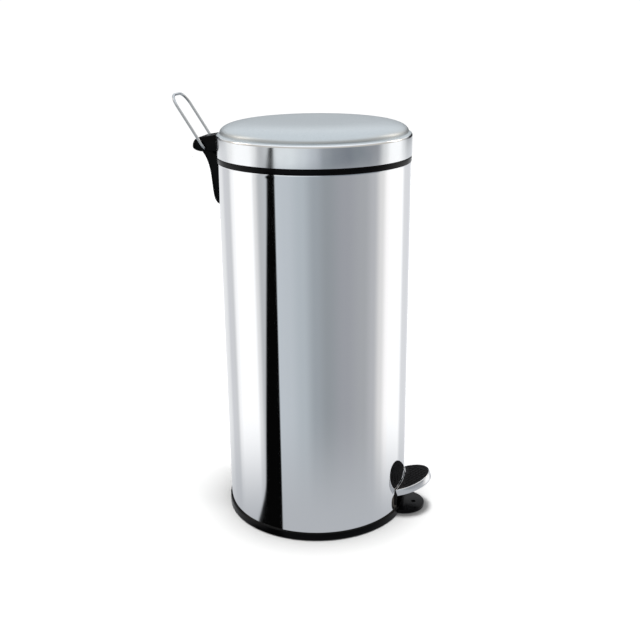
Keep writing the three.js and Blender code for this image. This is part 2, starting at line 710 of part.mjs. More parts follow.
function bailArc(from, to, steps = 40) {
  const points = [];
  for (let i = 0; i <= steps; i += 1) {
    const a = rad(from + ((to - from) * i) / steps);
    points.push(new THREE.Vector3(bail.radius * Math.cos(a), bail.radius * Math.sin(a), bail.z));
  }
  return new THREE.CatmullRomCurve3(points);
}

function bucketBail() {
  const arc = solid(wire(bailArc(-180, 0), bail.wire, 30));
  const ends = [-1, 1].map((side) => {
    const x = [side * (bucket.topRadius + 2), side * (bail.radius + bail.wire)].sort((a, b) => a - b);
    return bar('x', bail.wire, x[0], x[1], [0, bail.z]);
  });
  return join(arc, ...ends);
}

function bailGrip() {
  const path = bailArc(-90 - grip.halfSpan, -90 + grip.halfSpan, 16);
  return solid(wire(path, grip.radius, 8, bail.wire + 0.5));
}

// ---------- assembly ----------
add('outer_shell', outerShell(), polishedSteel());
add('base_tray', baseTray(), glossBlack());
padPlaces().forEach((at, i) => {
  const names = ['centre', 'rear_right', 'rear_left', 'front_left', 'front_right'];
  add(`foot_pad_${names[i]}`, footPad(at), rubber());
});
add('pedal_bezel', pedalBezel(), mattBlack());
add('top_rim', topRim(), glossBlack());
add('bucket_seat', bucketSeat(), mattBlack());

add('axle_bracket', axleBracket(), zincSteel());
rivetPlaces().forEach((at, i) => add(`bracket_rivet_${['front', 'rear'][i]}`, bracketRivet(at), zincSteel()));
add('lever_axle', leverAxle(), zincSteel());
add('axle_clip', axleClip(), zincSteel());
add('pedal_lever', pedalLever(), zincSteel());
add('pedal_tread', pedalTread(), polishedSteel(), treadFrame);
add('tread_pad', treadPad(), rubber(), treadFrame);
treadRivetPlaces().forEach((place, i) => {
  add(`tread_rivet_${['left', 'right'][i]}`, treadRivet(place), zincSteel(), treadFrame);
});

add('push_rod', pushRod(), zincSteel());
const footLow = leverTail.z + lever.thickness / 2 + 1;
add('rod_foot', rodCap(footLow, footLow + 9, rodLow - fit, footLow + 10), mattBlack());
add('rod_tip', rodCap(rodTop - 12, rodTop, rodTop - 13, rodHigh + fit), mattBlack());
guide.heights.forEach((z, i) => add(`rod_guide_${['lower', 'upper'][i]}`, rodGuide(z), mattBlack()));

add('hinge_bracket', hingeBracket(), glossBlack());
add('bracket_backplate', bracketBackplate(), zincSteel());
leg.screws.forEach((z, i) => add(`leg_screw_${['lower', 'upper'][i]}`, legScrew(z), zincSteel()));
add('hinge_pin', hingePin(), zincSteel());

add('lid_shell', lidShell(), satinSteel());
add('lid_liner', lidLiner(), mattBlack());
add('hinge_ear', hingeEar(), glossBlack());
earScrewPlaces().forEach((at, i) => add(`ear_screw_${['left', 'right'][i]}`, earScrew(at), zincSteel()));
lidBuffer.angles.forEach((angle, i) => {
  add(`lid_buffer_${['right', 'left', 'front'][i]}`, lidBufferStrip(angle), rubber());
});

carryHandle();

add('inner_bucket', innerBucket(), greyPlastic());
add('bucket_bail', bucketBail(), zincSteel());
add('bail_grip', bailGrip(), greyPlastic());

export default can;
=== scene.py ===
# Round pedal bin of about 30 litres: the finished surfaces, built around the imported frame.
# Sizes in the dictionaries are millimetres; meshes are made in metres.
import math
import bmesh
import bpy
from mathutils import Matrix, Vector


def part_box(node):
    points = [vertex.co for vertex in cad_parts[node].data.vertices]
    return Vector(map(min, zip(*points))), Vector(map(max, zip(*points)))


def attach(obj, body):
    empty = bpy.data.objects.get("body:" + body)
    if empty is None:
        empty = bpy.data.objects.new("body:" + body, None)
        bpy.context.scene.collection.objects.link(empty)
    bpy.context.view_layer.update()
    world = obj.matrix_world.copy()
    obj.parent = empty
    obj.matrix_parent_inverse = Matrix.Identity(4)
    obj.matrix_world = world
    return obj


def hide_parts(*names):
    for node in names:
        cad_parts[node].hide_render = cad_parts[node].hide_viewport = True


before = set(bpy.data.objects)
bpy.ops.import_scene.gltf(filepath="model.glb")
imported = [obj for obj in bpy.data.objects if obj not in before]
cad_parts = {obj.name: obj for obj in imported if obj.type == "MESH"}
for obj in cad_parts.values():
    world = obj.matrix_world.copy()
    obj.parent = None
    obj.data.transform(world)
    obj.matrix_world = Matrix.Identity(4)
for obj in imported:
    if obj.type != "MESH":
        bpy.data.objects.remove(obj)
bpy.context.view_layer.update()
mm = 0.001
fit = 0.3  # gap between neighbouring pieces
print("frame loaded:", len(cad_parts), "nodes")


def corners(node):
    # lowest and highest corner of a frame piece, in millimetres
    low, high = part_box(node)
    return low / mm, high / mm


def linear(code):
    # "#rrggbb" in sRGB to linear RGBA
    parts = [int(code[i:i + 2], 16) / 255 for i in (1, 3, 5)]
    return [c / 12.92 if c <= 0.04045 else ((c + 0.055) / 1.055) ** 2.4 for c in parts] + [1.0]


def addNode(tree, kind, inputs=None, **settings):
    # one node with its settings; an input is a value or another node's output
    made = tree.nodes.new(kind)
    for key, value in settings.items():
        setattr(made, key, value)
    for key, value in (inputs or {}).items():
        if isinstance(value, bpy.types.NodeSocket):
            tree.links.new(value, made.inputs[key])
        else:
            made.inputs[key].default_value = value
    return made


# ---- camera ----
camera = {
    "azimuth": -75.8, "elevation": 18.59, "roll": -0.54, "distance": 1466.5,
    "aside": 6.1, "aimHeight": 315.5, "lens": 51.29, "sensor": 36,
}


def makeCamera():
    azimuth, elevation, roll = (math.radians(camera[k]) for k in ("azimuth", "elevation", "roll"))
    back = Vector((
        math.sin(azimuth) * math.cos(elevation),
        -math.cos(azimuth) * math.cos(elevation),
        math.sin(elevation),
    ))
    right = Vector((math.cos(azimuth), math.sin(azimuth), 0))
    up = back.cross(right)
    across = right * math.cos(roll) + up * math.sin(roll)
    upright = up * math.cos(roll) - right * math.sin(roll)
    lens = bpy.data.cameras.new("camera")
    lens.lens = camera["lens"]
    lens.sensor_width = camera["sensor"]
    lens.clip_start = 0.01
    lens.clip_end = 50
    made = bpy.data.objects.new("camera", lens)
    place = Vector((0, 0, camera["aimHeight"])) + back * camera["distance"] + right * camera["aside"]
    turn = Matrix((across, upright, back)).transposed().to_4x4()
    made.matrix_world = Matrix.Translation(place * mm) @ turn
    bpy.context.scene.collection.objects.link(made)
    bpy.context.scene.camera = made


# ---- studio ----
# The room round the bin, by direction from the camera's side: degrees to its right, and colour.
studio = {
    "walls": [
        (-180, "#e2e4e7"), (-146, "#dcddde"), (-134, "#c7c8cb"), (-123, "#c7c8ca"),
        (-114, "#f4f4f4"), (-108, "#ffffff"), (-80, "#ffffff"), (-75, "#dcdcdc"),
        (-68, "#b2b4b6"), (-47, "#bac0c5"), (-34, "#b7bdc2"), (-16, "#acb3b8"),
        (0, "#979da2"), (14, "#8f9498"), (36, "#989a9f"), (60, "#a1a3a6"),
        (74, "#b0b1b4"), (86, "#d8d7d6"), (97, "#fbf9f8"), (103, "#ffffff"),
        (127, "#ffffff"), (136, "#d4d5d7"), (152, "#cfd0d3"), (180, "#e2e4e7"),
    ],
    # the same round the lid's skirt, which sees the room a little higher up
    "upperWalls": [
        (-180, "#e2e4e7"), (-150, "#dcdddf"), (-126, "#d8d9db"), (-114, "#ebebeb"), (-103, "#ffffff"),
        (-80, "#ffffff"), (-73, "#e9e9e9"), (-65, "#b2b3b5"), (-44, "#dde1e3"), (-26, "#dde2e4"),
        (-13, "#cbd0d4"), (0, "#b6bbc1"), (12, "#8b9197"), (25, "#7c8289"), (38, "#727880"),
        (50, "#7a8187"), (63, "#82878d"), (77, "#8a8d92"), (88, "#d6d7d7"), (100, "#ffffff"),
        (116, "#ffffff"), (126, "#e4e5e6"), (138, "#c9cbcd"), (152, "#cacccf"), (180, "#e2e4e7"),
    ],
    # the other zones, and the degrees up over which each one comes in
    "table": "#adb0b4", "wood": "#bfbbb5", "ceiling": "#f2f5f8", "dusk": "#26262a", "power": 1.22,
    "backdrop": 1.05, "upperFrom": -9.3, "upperTo": -8.7, "tableFrom": -24, "tableTo": -31.5,
    "woodFrom": -5, "woodTo": 6, "ceilingFrom": 24, "ceilingTo": 50,
    "duskFrom": -4, "duskTo": 10, "duskRise": 4, "duskFall": 6, "farFrom": 118, "farTo": 150,
    # a leaning black flag, which spreads at its foot
    "flag": "#050505", "flagRight": -47.2, "flagLeft": -57.8, "flagLean": 0.72, "flagTop": -11,
    "flagSoft": 1.6, "footFrom": -28.5, "footTo": -33, "footSpread": -24, "flagEnd": 14, "flagGone": 24,
    "floorRadius": 4000, "floorGrey": "#8c8c8c", "floorGlow": 0.07,
    "topLight": 10, "topSpread": 15,
    # soft boxes: degrees to the right of the camera's side, degrees up, and watts
    "boxes": [(-100, 38, 5), (112, 34, 5)], "boxWide": 700, "boxTall": 1100, "boxAway": 2600,
    "boxWarmth": "#fff1e2",
}


def smoothStep(tree, value, low, high, start=0.0, end=1.0):
    return addNode(tree, "ShaderNodeMapRange", {
        "Value": value, "From Min": low, "From Max": high, "To Min": start, "To Max": end,
    }, interpolation_type="SMOOTHSTEP").outputs["Result"]


def sumOf(tree, first, operation, second):
    return addNode(tree, "ShaderNodeMath", {0: first, 1: second}, operation=operation).outputs[0]


def wallColours(tree, along, stops):
    made = addNode(tree, "ShaderNodeValToRGB", {"Fac": along})
    ramp = made.color_ramp
    ramp.interpolation = "EASE"
    places = [(angle / 360 + 0.5, linear(code)) for angle, code in stops]
    for element, (place, colour) in zip((ramp.elements[0], ramp.elements[-1]), (places[0], places[-1])):
        element.position, element.color = place, colour
    for place, colour in places[1:-1]:
        ramp.elements.new(place).color = colour
    return made.outputs["Color"]


def makeRoom():
    world = bpy.data.worlds.new("studio")
    bpy.context.scene.world = world
    world.use_nodes = True
    tree = world.node_tree
    tree.nodes.clear()
    direction = addNode(tree, "ShaderNodeTexCoord").outputs["Generated"]
    turned = addNode(tree, "ShaderNodeVectorRotate", {
        "Vector": direction, "Angle": math.radians(90 - camera["azimuth"]),
    }, rotation_type="Z_AXIS")
    parts = addNode(tree, "ShaderNodeSeparateXYZ", {0: turned.outputs[0]})
    bearing = sumOf(tree, parts.outputs["Y"], "ARCTAN2", parts.outputs["X"])
    aside = sumOf(tree, bearing, "MULTIPLY", 180 / math.pi)
    height = sumOf(tree, sumOf(tree, parts.outputs["Z"], "ARCSINE", 0.0), "MULTIPLY", 180 / math.pi)

    along = sumOf(tree, sumOf(tree, aside, "DIVIDE", 360.0), "ADD", 0.5)
    far = smoothStep(tree, sumOf(tree, aside, "ABSOLUTE", 0.0), studio["farFrom"], studio["farTo"])
    room = wallColours(tree, along, studio["walls"])
    duskFrom, duskTo = studio["duskFrom"], studio["duskTo"]
    # each further zone: how much of it shows, and its colour
    zones = [
        (smoothStep(tree, height, studio["upperFrom"], studio["upperTo"]),
         wallColours(tree, along, studio["upperWalls"])),
        (smoothStep(tree, height, studio["tableTo"], studio["tableFrom"], 1.0, 0.0),
         linear(studio["table"])),
        (smoothStep(tree, height, studio["woodFrom"], studio["woodTo"]), linear(studio["wood"])),
        (smoothStep(tree, height, studio["ceilingFrom"], studio["ceilingTo"]), linear(studio["ceiling"])),
        (sumOf(tree, far, "MULTIPLY", smoothStep(tree, height, studio["woodFrom"], studio["woodTo"])),
         linear(studio["ceiling"])),
        (sumOf(tree, far, "MULTIPLY", sumOf(
            tree, smoothStep(tree, height, duskFrom - studio["duskRise"], duskFrom), "MULTIPLY",
            smoothStep(tree, height, duskTo, duskTo + studio["duskFall"], 1.0, 0.0))),
         linear(studio["dusk"])),
    ]
    for share, colour in zones:
        mixed = addNode(tree, "ShaderNodeMix", {"Factor": share, 6: room, 7: colour}, data_type="RGBA")
        room = mixed.outputs[2]

    # a tall black flag to the left of the camera, leaning outwards towards its foot
    lean = sumOf(tree, sumOf(tree, height, "SUBTRACT", studio["flagTop"]), "MULTIPLY", studio["flagLean"])
    foot = smoothStep(tree, height, studio["footTo"], studio["footFrom"], studio["footSpread"], 0.0)
    left = sumOf(tree, sumOf(tree, lean, "ADD", studio["flagLeft"]), "ADD", foot)
    right, soft = studio["flagRight"], studio["flagSoft"]
    pastLeft = smoothStep(tree, sumOf(tree, aside, "SUBTRACT", left), -soft, soft)
    pastRight = smoothStep(tree, aside, right - soft / 2, right + soft / 2, 1.0, 0.0)
    below = smoothStep(tree, height, studio["flagEnd"], studio["flagGone"], 1.0, 0.0)
    flag = sumOf(tree, sumOf(tree, pastLeft, "MULTIPLY", pastRight), "MULTIPLY", below)
    dark = addNode(tree, "ShaderNodeMix", {
        "Factor": flag, 6: room, 7: linear(studio["flag"]),
    }, data_type="RGBA")

    seen = addNode(tree, "ShaderNodeLightPath").outputs["Is Camera Ray"]
    lit = addNode(tree, "ShaderNodeBackground", {"Color": dark.outputs[2], "Strength": studio["power"]})
    plain = addNode(tree, "ShaderNodeBackground", {
        "Color": (1, 1, 1, 1), "Strength": studio["backdrop"],
    })
    both = addNode(tree, "ShaderNodeMixShader", {0: seen, 1: lit.outputs[0], 2: plain.outputs[0]})
    addNode(tree, "ShaderNodeOutputWorld", {"Surface": both.outputs[0]})


def makeTopLight(floor):
    # straight overhead and for the floor alone, so that only close contact darkens it
    lamp = bpy.data.lights.new("top light", "SUN")
    lamp.energy = studio["topLight"]
    lamp.angle = math.radians(studio["topSpread"])
    made = bpy.data.objects.new("top light", lamp)
    bpy.context.scene.collection.objects.link(made)
    floorOnly = bpy.data.collections.new("floor only")
    floorOnly.objects.link(floor)
    made.light_linking.receiver_collection = floorOnly


def makeSoftBoxes():
    # one to each side, above the room's horizon: they draw fine warm lines on rounded black edges
    for aside, height, power in studio["boxes"]:
        box = bpy.data.lights.new("soft box", "AREA")
        box.shape = "RECTANGLE"
        box.size, box.size_y = studio["boxWide"] * mm, studio["boxTall"] * mm
        box.energy = power
        box.color = linear(studio["boxWarmth"])[:3]
        turn, tilt = math.radians(camera["azimuth"] + aside), math.radians(height)
        out = Vector((math.sin(turn) * math.cos(tilt), -math.cos(turn) * math.cos(tilt), math.sin(tilt)))
        made = bpy.data.objects.new("soft box", box)
        made.location = out * studio["boxAway"] * mm
        made.rotation_euler = out.to_track_quat("Z", "Y").to_euler()
        bpy.context.scene.collection.objects.link(made)


def makeFloor():
    # pale matt sweep, lit to a clean white away from the bin
    material = bpy.data.materials.new("white painted sweep")
    material.use_nodes = True
    shader = material.node_tree.nodes["Principled BSDF"]
    shader.inputs["Base Color"].default_value = linear(studio["floorGrey"])
    shader.inputs["Roughness"].default_value = 0.9
    shader.inputs["Specular IOR Level"].default_value = 0.0
    shader.inputs["Emission Color"].default_value = (1, 1, 1, 1)
    shader.inputs["Emission Strength"].default_value = studio["floorGlow"]
    bm = bmesh.new()
    bmesh.ops.create_circle(bm, cap_ends=True, segments=128, radius=studio["floorRadius"] * mm)
    mesh = bpy.data.meshes.new("floor")
    bm.to_mesh(mesh)
    bm.free()
    mesh.materials.append(material)
    floor = bpy.data.objects.new("floor", mesh)
    floor.visible_glossy = False
    bpy.context.scene.collection.objects.link(floor)
    return floor


# ---- materials ----
def startMaterial(name, color, roughness, metallic=0.0, specular=0.5):
    material = bpy.data.materials.new(name)
    material.use_nodes = True
    tree = material.node_tree
    shader = tree.nodes["Principled BSDF"]
    shader.inputs["Base Color"].default_value = linear(color)
    shader.inputs["Roughness"].default_value = roughness
    shader.inputs["Metallic"].default_value = metallic
    shader.inputs["Specular IOR Level"].default_value = specular
    place = addNode(tree, "ShaderNodeTexCoord").outputs["Object"]
    return material, tree, shader, place


def noise(tree, place, size, detail=2.0):
    # size is the pattern's grain in millimetres
    return addNode(tree, "ShaderNodeTexNoise", {
        "Vector": place, "Scale": 1 / (size * mm), "Detail": detail,
    }).outputs["Fac"]


def vary(tree, shader, socket, value, low, high):
    spread = addNode(tree, "ShaderNodeMapRange", {
        "Value": value, "From Min": 0.3, "From Max": 0.7, "To Min": low, "To Max": high,
    })
    tree.links.new(spread.outputs["Result"], shader.inputs[socket])


def tint(tree, shader, value, dark, light):
    blend = addNode(tree, "ShaderNodeMix", {
        "Factor": value, 6: linear(dark), 7: linear(light),
    }, data_type="RGBA")
    tree.links.new(blend.outputs[2], shader.inputs["Base Color"])


def bump(tree, shader, value, height, strength=1.0):
    # height is the relief in millimetres
    made = addNode(tree, "ShaderNodeBump", {"Height": value, "Distance": height * mm, "Strength": strength})
    tree.links.new(made.outputs["Normal"], shader.inputs["Normal"])


def polishedSteel():
    # 430 stainless sheet, mirror-polished then rolled: crisp reflections that waver slightly
    material, tree, shader, place = startMaterial("mirror-polished stainless steel", "#ebecee", 0.05, 1.0)
    vary(tree, shader, "Roughness", noise(tree, place, 60), 0.035, 0.06)
    stretched = addNode(tree, "ShaderNodeMapping", {"Vector": place, "Scale": (1, 1, 0.35)}).outputs[0]
    bump(tree, shader, noise(tree, stretched, 70, 1.0), 0.035)
    return material


def skirtSteel():
    # the same sheet drawn over a tool: still bright, but softer reflections
    material, tree, shader, place = startMaterial("drawn polished stainless steel", "#e6e8ea", 0.13, 1.0)
    vary(tree, shader, "Roughness", noise(tree, place, 18), 0.11, 0.16)
    bump(tree, shader, noise(tree, place, 30, 1.0), 0.02)
    return material


def satinSteel():
    # stainless sheet with a bead-blasted satin face: even, fine grey grain
    # the real grain is about 0.1 mm; it is drawn at 0.9 mm so that it shows
    material, tree, shader, place = startMaterial("satin stainless steel", "#c0c6ca", 0.38, 1.0)
    grain = noise(tree, place, 0.9, 3.0)
    tint(tree, shader, grain, "#b3babe", "#cbd1d4")
    vary(tree, shader, "Roughness", noise(tree, place, 3), 0.34, 0.44)
    bump(tree, shader, grain, 0.02, 0.5)
    return material


def chromePlate():
    # pressed steel with bright chrome plating: clean, slightly soft highlights
    material, tree, shader, place = startMaterial("chrome-plated pressed steel", "#e3e4e6", 0.14, 1.0)
    vary(tree, shader, "Roughness", noise(tree, place, 6), 0.11, 0.2)
    bump(tree, shader, noise(tree, place, 9), 0.02)
    return material


def chromeWire():
    # drawn steel wire with chrome plating: faint lines along the draw
    material, tree, shader, place = startMaterial("chrome-plated drawn wire", "#bcc0c4", 0.18, 1.0)
    vary(tree, shader, "Roughness", noise(tree, place, 5), 0.08, 0.18)
    bump(tree, shader, noise(tree, place, 3), 0.01)
    return material


def zincSteel():
    # zinc-plated mild steel: pale, slightly blue, with soft mottling
    material, tree, shader, place = startMaterial("zinc-plated steel", "#a9adb0", 0.4, 1.0)
    spangle = noise(tree, place, 7, 3.0)
    tint(tree, shader, spangle, "#94989c", "#bcc0c4")
    vary(tree, shader, "Roughness", spangle, 0.32, 0.5)
    bump(tree, shader, noise(tree, place, 1.5), 0.01)
    return material


def glossBlack():
    # injection-moulded black ABS off a polished tool: deep gloss with a trace of sink and flow
    material, tree, shader, place = startMaterial("gloss black ABS", "#040405", 0.2, specular=0.07)
    vary(tree, shader, "Roughness", noise(tree, place, 9, 3.0), 0.16, 0.28)
    bump(tree, shader, noise(tree, place, 14), 0.05)
    return material


def mattBlack():
    # moulded black polypropylene with a spark-eroded texture of about 0.3 mm
    material, tree, shader, place = startMaterial(
        "textured black polypropylene", "#070708", 0.45, specular=0.06)
    tint(tree, shader, noise(tree, place, 12), "#050506", "#0a0a0b")
    vary(tree, shader, "Roughness", noise(tree, place, 8), 0.42, 0.6)
    bump(tree, shader, noise(tree, place, 0.5, 3.0), 0.03, 0.6)
    return material


def greyPlastic():
    # moulded charcoal polypropylene: satin, a little waxy, with faint flow marks
    material, tree, shader, place = startMaterial("charcoal polypropylene", "#2a2b2e", 0.42)
    flow = addNode(tree, "ShaderNodeMapping", {"Vector": place, "Scale": (1, 1, 0.2)}).outputs[0]
    tint(tree, shader, noise(tree, flow, 24, 3.0), "#252629", "#303135")
    vary(tree, shader, "Roughness", noise(tree, place, 10), 0.36, 0.5)
    bump(tree, shader, noise(tree, place, 0.7, 2.0), 0.02, 0.5)
    return material


def blackRubber():
    # moulded black rubber: dull, with a dusty bloom
    material, tree, shader, place = startMaterial("black moulded rubber", "#090a0b", 0.55, specular=0.07)
    tint(tree, shader, noise(tree, place, 5, 3.0), "#070708", "#0d0e0f")
    vary(tree, shader, "Roughness", noise(tree, place, 3), 0.4, 0.6)
    bump(tree, shader, noise(tree, place, 0.6, 3.0), 0.03, 0.5)
    return material


# ---- shapes ----
def rounded(points, steps=5):
    # a (a, b) outline; a third number rounds that corner with an arc of that radius
    made = []
    for i, point in enumerate(points):
        here = Vector(point[:2])
        radius = point[2] if len(point) > 2 else 0
        if not radius:
            made.append(here)
            continue
        before = (Vector(points[i - 1][:2]) - here).normalized()
        after = (Vector(points[(i + 1) % len(points)][:2]) - here).normalized()
        half = before.angle(after) / 2
        centre = here + (before + after).normalized() * radius / math.sin(half)
        first = here + before * radius / math.tan(half) - centre
        last = here + after * radius / math.tan(half) - centre
        start = math.atan2(first.y, first.x)
        sweep = (math.atan2(last.y, last.x) - start + math.pi) % (2 * math.pi) - math.pi
        for k in range(steps + 1):
            angle = start + sweep * k / steps
            made.append(centre + radius * Vector((math.cos(angle), math.sin(angle))))
    return made


def bezier(start, first, second, end, steps=12):
    # points after start along a cubic curve
    made = []
    for k in range(1, steps + 1):
        t = k / steps
        parts = ((1 - t) ** 3, 3 * t * (1 - t) ** 2, 3 * t * t * (1 - t), t ** 3)
        made.append(tuple(
            sum(w * p[i] for w, p in zip(parts, (start, first, second, end))) for i in (0, 1)
        ))
    return made


def quadratic(start, middle, end, steps=8):
    first = [start[i] + (middle[i] - start[i]) * 2 / 3 for i in (0, 1)]
    second = [end[i] + (middle[i] - end[i]) * 2 / 3 for i in (0, 1)]
    return bezier(start, first, second, end, steps)


def link(name, mesh):
    made = bpy.data.objects.new(name, mesh)
    bpy.context.scene.collection.objects.link(made)
    return made


def fromBmesh(name, bm):
    mesh = bpy.data.meshes.new(name)
    bm.to_mesh(mesh)
    bm.free()
    return link(name, mesh)


def settle(obj):
    # replaces an object's mesh with its modifiers' result
    graph = bpy.context.evaluated_depsgraph_get()
    mesh = bpy.data.meshes.new_from_object(obj.evaluated_get(graph))
    mesh.name = obj.name
    obj.modifiers.clear()
    obj.data = mesh
    return obj


def finish(obj, material, sharp=32):
    mesh = obj.data
    mesh.materials.clear()
    mesh.materials.append(material)
    mesh.shade_smooth()
    mesh.set_sharp_from_angle(angle=math.radians(sharp))
    return obj


def publish(obj, body, slot, *nodes):
    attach(obj, body)
    if nodes:
        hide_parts(*nodes)
    return obj


def extruded(name, outline, place, depth, bevel=0.0, segments=3):
    # an outline made a slab; place(a, b, d) gives the point at depth d
    bm = bmesh.new()
    ends = [[bm.verts.new(Vector(place(p[0], p[1], d)) * mm) for p in outline] for d in depth]
    count = len(outline)
    bm.faces.new(ends[0])
    bm.faces.new(ends[1][::-1])
    for i in range(count):
        j = (i + 1) % count
        bm.faces.new((ends[0][j], ends[0][i], ends[1][i], ends[1][j]))
    bmesh.ops.recalc_face_normals(bm, faces=bm.faces)
    made = fromBmesh(name, bm)
    if bevel:
        edge = made.modifiers.new("edge", "BEVEL")
        edge.width = bevel * mm
        edge.segments = segments
        edge.limit_method = "ANGLE"
        edge.angle_limit = math.radians(38)
        settle(made)
    return made


def sideSlab(name, outline, x0, x1, bevel=0.0):
    return extruded(name, outline, lambda a, b, d: (d, a, b), (x0, x1), bevel)


def planSlab(name, outline, z0, z1, bevel=0.0):
    return extruded(name, outline, lambda a, b, d: (a, b, d), (z0, z1), bevel)


def frontSlab(name, outline, y0, y1, bevel=0.0):
    return extruded(name, outline, lambda a, b, d: (a, d, b), (y0, y1), bevel)


def bar(name, axis, radius, start, end, at, sides=64, bevel=0.0):
    # a round bar along one axis through the point given by the other two coordinates
    angles = [2 * math.pi * k / sides for k in range(sides)]
    circle = [(at[0] + radius * math.cos(a), at[1] + radius * math.sin(a)) for a in angles]
    slab = {"x": sideSlab, "y": frontSlab, "z": planSlab}[axis]
    return slab(name, circle, start, end, bevel)


def block(name, x, y, z, bevel=0.0):
    return planSlab(name, [(x[0], y[0]), (x[1], y[0]), (x[1], y[1]), (x[0], y[1])], z[0], z[1], bevel)


def combine(obj, operation, *tools):
    for tool in tools:
        step = obj.modifiers.new("step", "BOOLEAN")
        step.object = tool
        step.operation = operation
        step.solver = "EXACT"
        settle(obj)
        bpy.data.objects.remove(tool)
    return obj


def cut(obj, *tools):
    return combine(obj, "DIFFERENCE", *tools)


def join(obj, *tools):
    return combine(obj, "UNION", *tools)


# ---- geometry node trees ----
def newTree(name, **inputs):
    tree = bpy.data.node_groups.new(name, "GeometryNodeTree")
    kinds = {"int": "NodeSocketInt", "float": "NodeSocketFloat", "material": "NodeSocketMaterial",
             "object": "NodeSocketObject"}
    tree.interface.new_socket("Geometry", in_out="INPUT", socket_type="NodeSocketGeometry")
    for key, kind in inputs.items():
        tree.interface.new_socket(key, in_out="INPUT", socket_type=kinds[kind])
    tree.interface.new_socket("Geometry", in_out="OUTPUT", socket_type="NodeSocketGeometry")
    return tree, tree.nodes.new("NodeGroupInput")


def closeTree(tree, geometry, material):
    solid = addNode(tree, "GeometryNodeRealizeInstances", {0: geometry})
    painted = addNode(tree, "GeometryNodeSetMaterial", {"Geometry": solid.outputs[0], "Material": material})
    addNode(tree, "NodeGroupOutput", {0: painted.outputs[0]})
    return tree


def runTree(obj, tree, **inputs):
    # sets each named input by its socket's identifier, then keeps the result as a plain mesh
    step = obj.modifiers.new("nodes", "NODES")
    step.node_group = tree
    for item in tree.interface.items_tree:
        if item.in_out == "INPUT" and item.name in inputs:
            step[item.identifier] = inputs[item.name]
    return settle(obj)


spinRadius = 100  # radius of the circle that a turned profile is carried round


def turningTree():
    tree, given = newTree("turned piece", Sides="int", Material="material")
    profile = addNode(tree, "GeometryNodeMeshToCurve", {0: given.outputs["Geometry"]})
    circle = addNode(tree, "GeometryNodeCurvePrimitiveCircle", {
        "Resolution": given.outputs["Sides"], "Radius": spinRadius * mm,
    })
    swept = addNode(tree, "GeometryNodeCurveToMesh", {
        "Curve": circle.outputs[0], "Profile Curve": profile.outputs[0],
    })
    welded = addNode(tree, "GeometryNodeMergeByDistance", {"Geometry": swept.outputs[0], "Distance": 2e-6})
    return closeTree(tree, welded.outputs[0], given.outputs["Material"])


def wireTree():
    tree, given = newTree("round wire", Radius="float", Sides="int", Material="material")
    path = addNode(tree, "GeometryNodeMeshToCurve", {0: given.outputs["Geometry"]})
    section = addNode(tree, "GeometryNodeCurvePrimitiveCircle", {
        "Resolution": given.outputs["Sides"], "Radius": given.outputs["Radius"],
    })
    swept = addNode(tree, "GeometryNodeCurveToMesh", {
        "Curve": path.outputs[0], "Profile Curve": section.outputs[0], "Fill Caps": True,
    })
    return closeTree(tree, swept.outputs[0], given.outputs["Material"])


def copiesTree():
    # one shape set at every given point
    tree, given = newTree("repeated fixing", Shape="object", Material="material")
    shape = addNode(tree, "GeometryNodeObjectInfo", {"Object": given.outputs["Shape"]})
    placed = addNode(tree, "GeometryNodeInstanceOnPoints", {
        "Points": given.outputs["Geometry"], "Instance": shape.outputs["Geometry"],
    })
    return closeTree(tree, placed.outputs[0], given.outputs["Material"])


turning = turningTree()
wiring = wireTree()
copying = copiesTree()


def pointMesh(name, points, chain=False, closed=False):
    mesh = bpy.data.meshes.new(name)
    count = len(points)
    edges = [(i, (i + 1) % count) for i in range(count if closed else count - 1)] if chain else []
    mesh.from_pydata([tuple(Vector(p) * mm) for p in points], edges, [])
    return link(name, mesh)


def turned(name, profile, material, sides=192, sharp=32):
    # profile is (radius, height) points; it closes on itself, or starts and ends on the axis
    points = rounded(profile)
    area = sum(
        points[i - 1].x * points[i].y - points[i].x * points[i - 1].y for i in range(len(points))
    )
    if area > 0:
        points.reverse()
    onAxis = sum(p.x < 1e-6 for p in points) == 2
    if onAxis:
        while points[0].x > 1e-6 or points[-1].x > 1e-6:
            points = points[1:] + points[:1]
    flat = [(p.x - spinRadius, -p.y, 0) for p in points]
    made = pointMesh(name, flat, chain=True, closed=not onAxis)
    runTree(made, turning, Sides=sides, Material=material)
    return finish(made, material, sharp)


def wire(name, path, radius, material, sides=24):
    made = pointMesh(name, path, chain=True)
    runTree(made, wiring, Radius=radius * mm, Sides=sides, Material=material)
    return finish(made, material)


def copies(name, shape, places, material):
    made = pointMesh(name, places)
    runTree(made, copying, Shape=shape, Material=material)
    bpy.data.objects.remove(shape)
    return finish(made, material)


def moved(obj, matrix):
    obj.data.transform(matrix)
    return obj


makeCamera()
makeRoom()
makeTopLight(makeFloor())
makeSoftBoxes()
bpy.context.scene.view_settings.view_transform = "Standard"
print("camera and studio ready")

steel = polishedSteel()
skirt = skirtSteel()
satin = satinSteel()
chrome = chromePlate()
brightWire = chromeWire()
zinc = zincSteel()
gloss = glossBlack()
matt = mattBlack()
charcoal = greyPlastic()
rubber = blackRubber()
print("materials ready")

# ---- body ----
shellLow, shellHigh = corners("outer_shell")
body = {
    "radius": shellHigh.x, "swell": 0.12, "swellLow": 10, "sheet": 0.8, "slotHalf": 35, "slotTop": 43,
    "columns": 240, "rows": 12, "slotColumns": 10, "swellRows": 10,
}


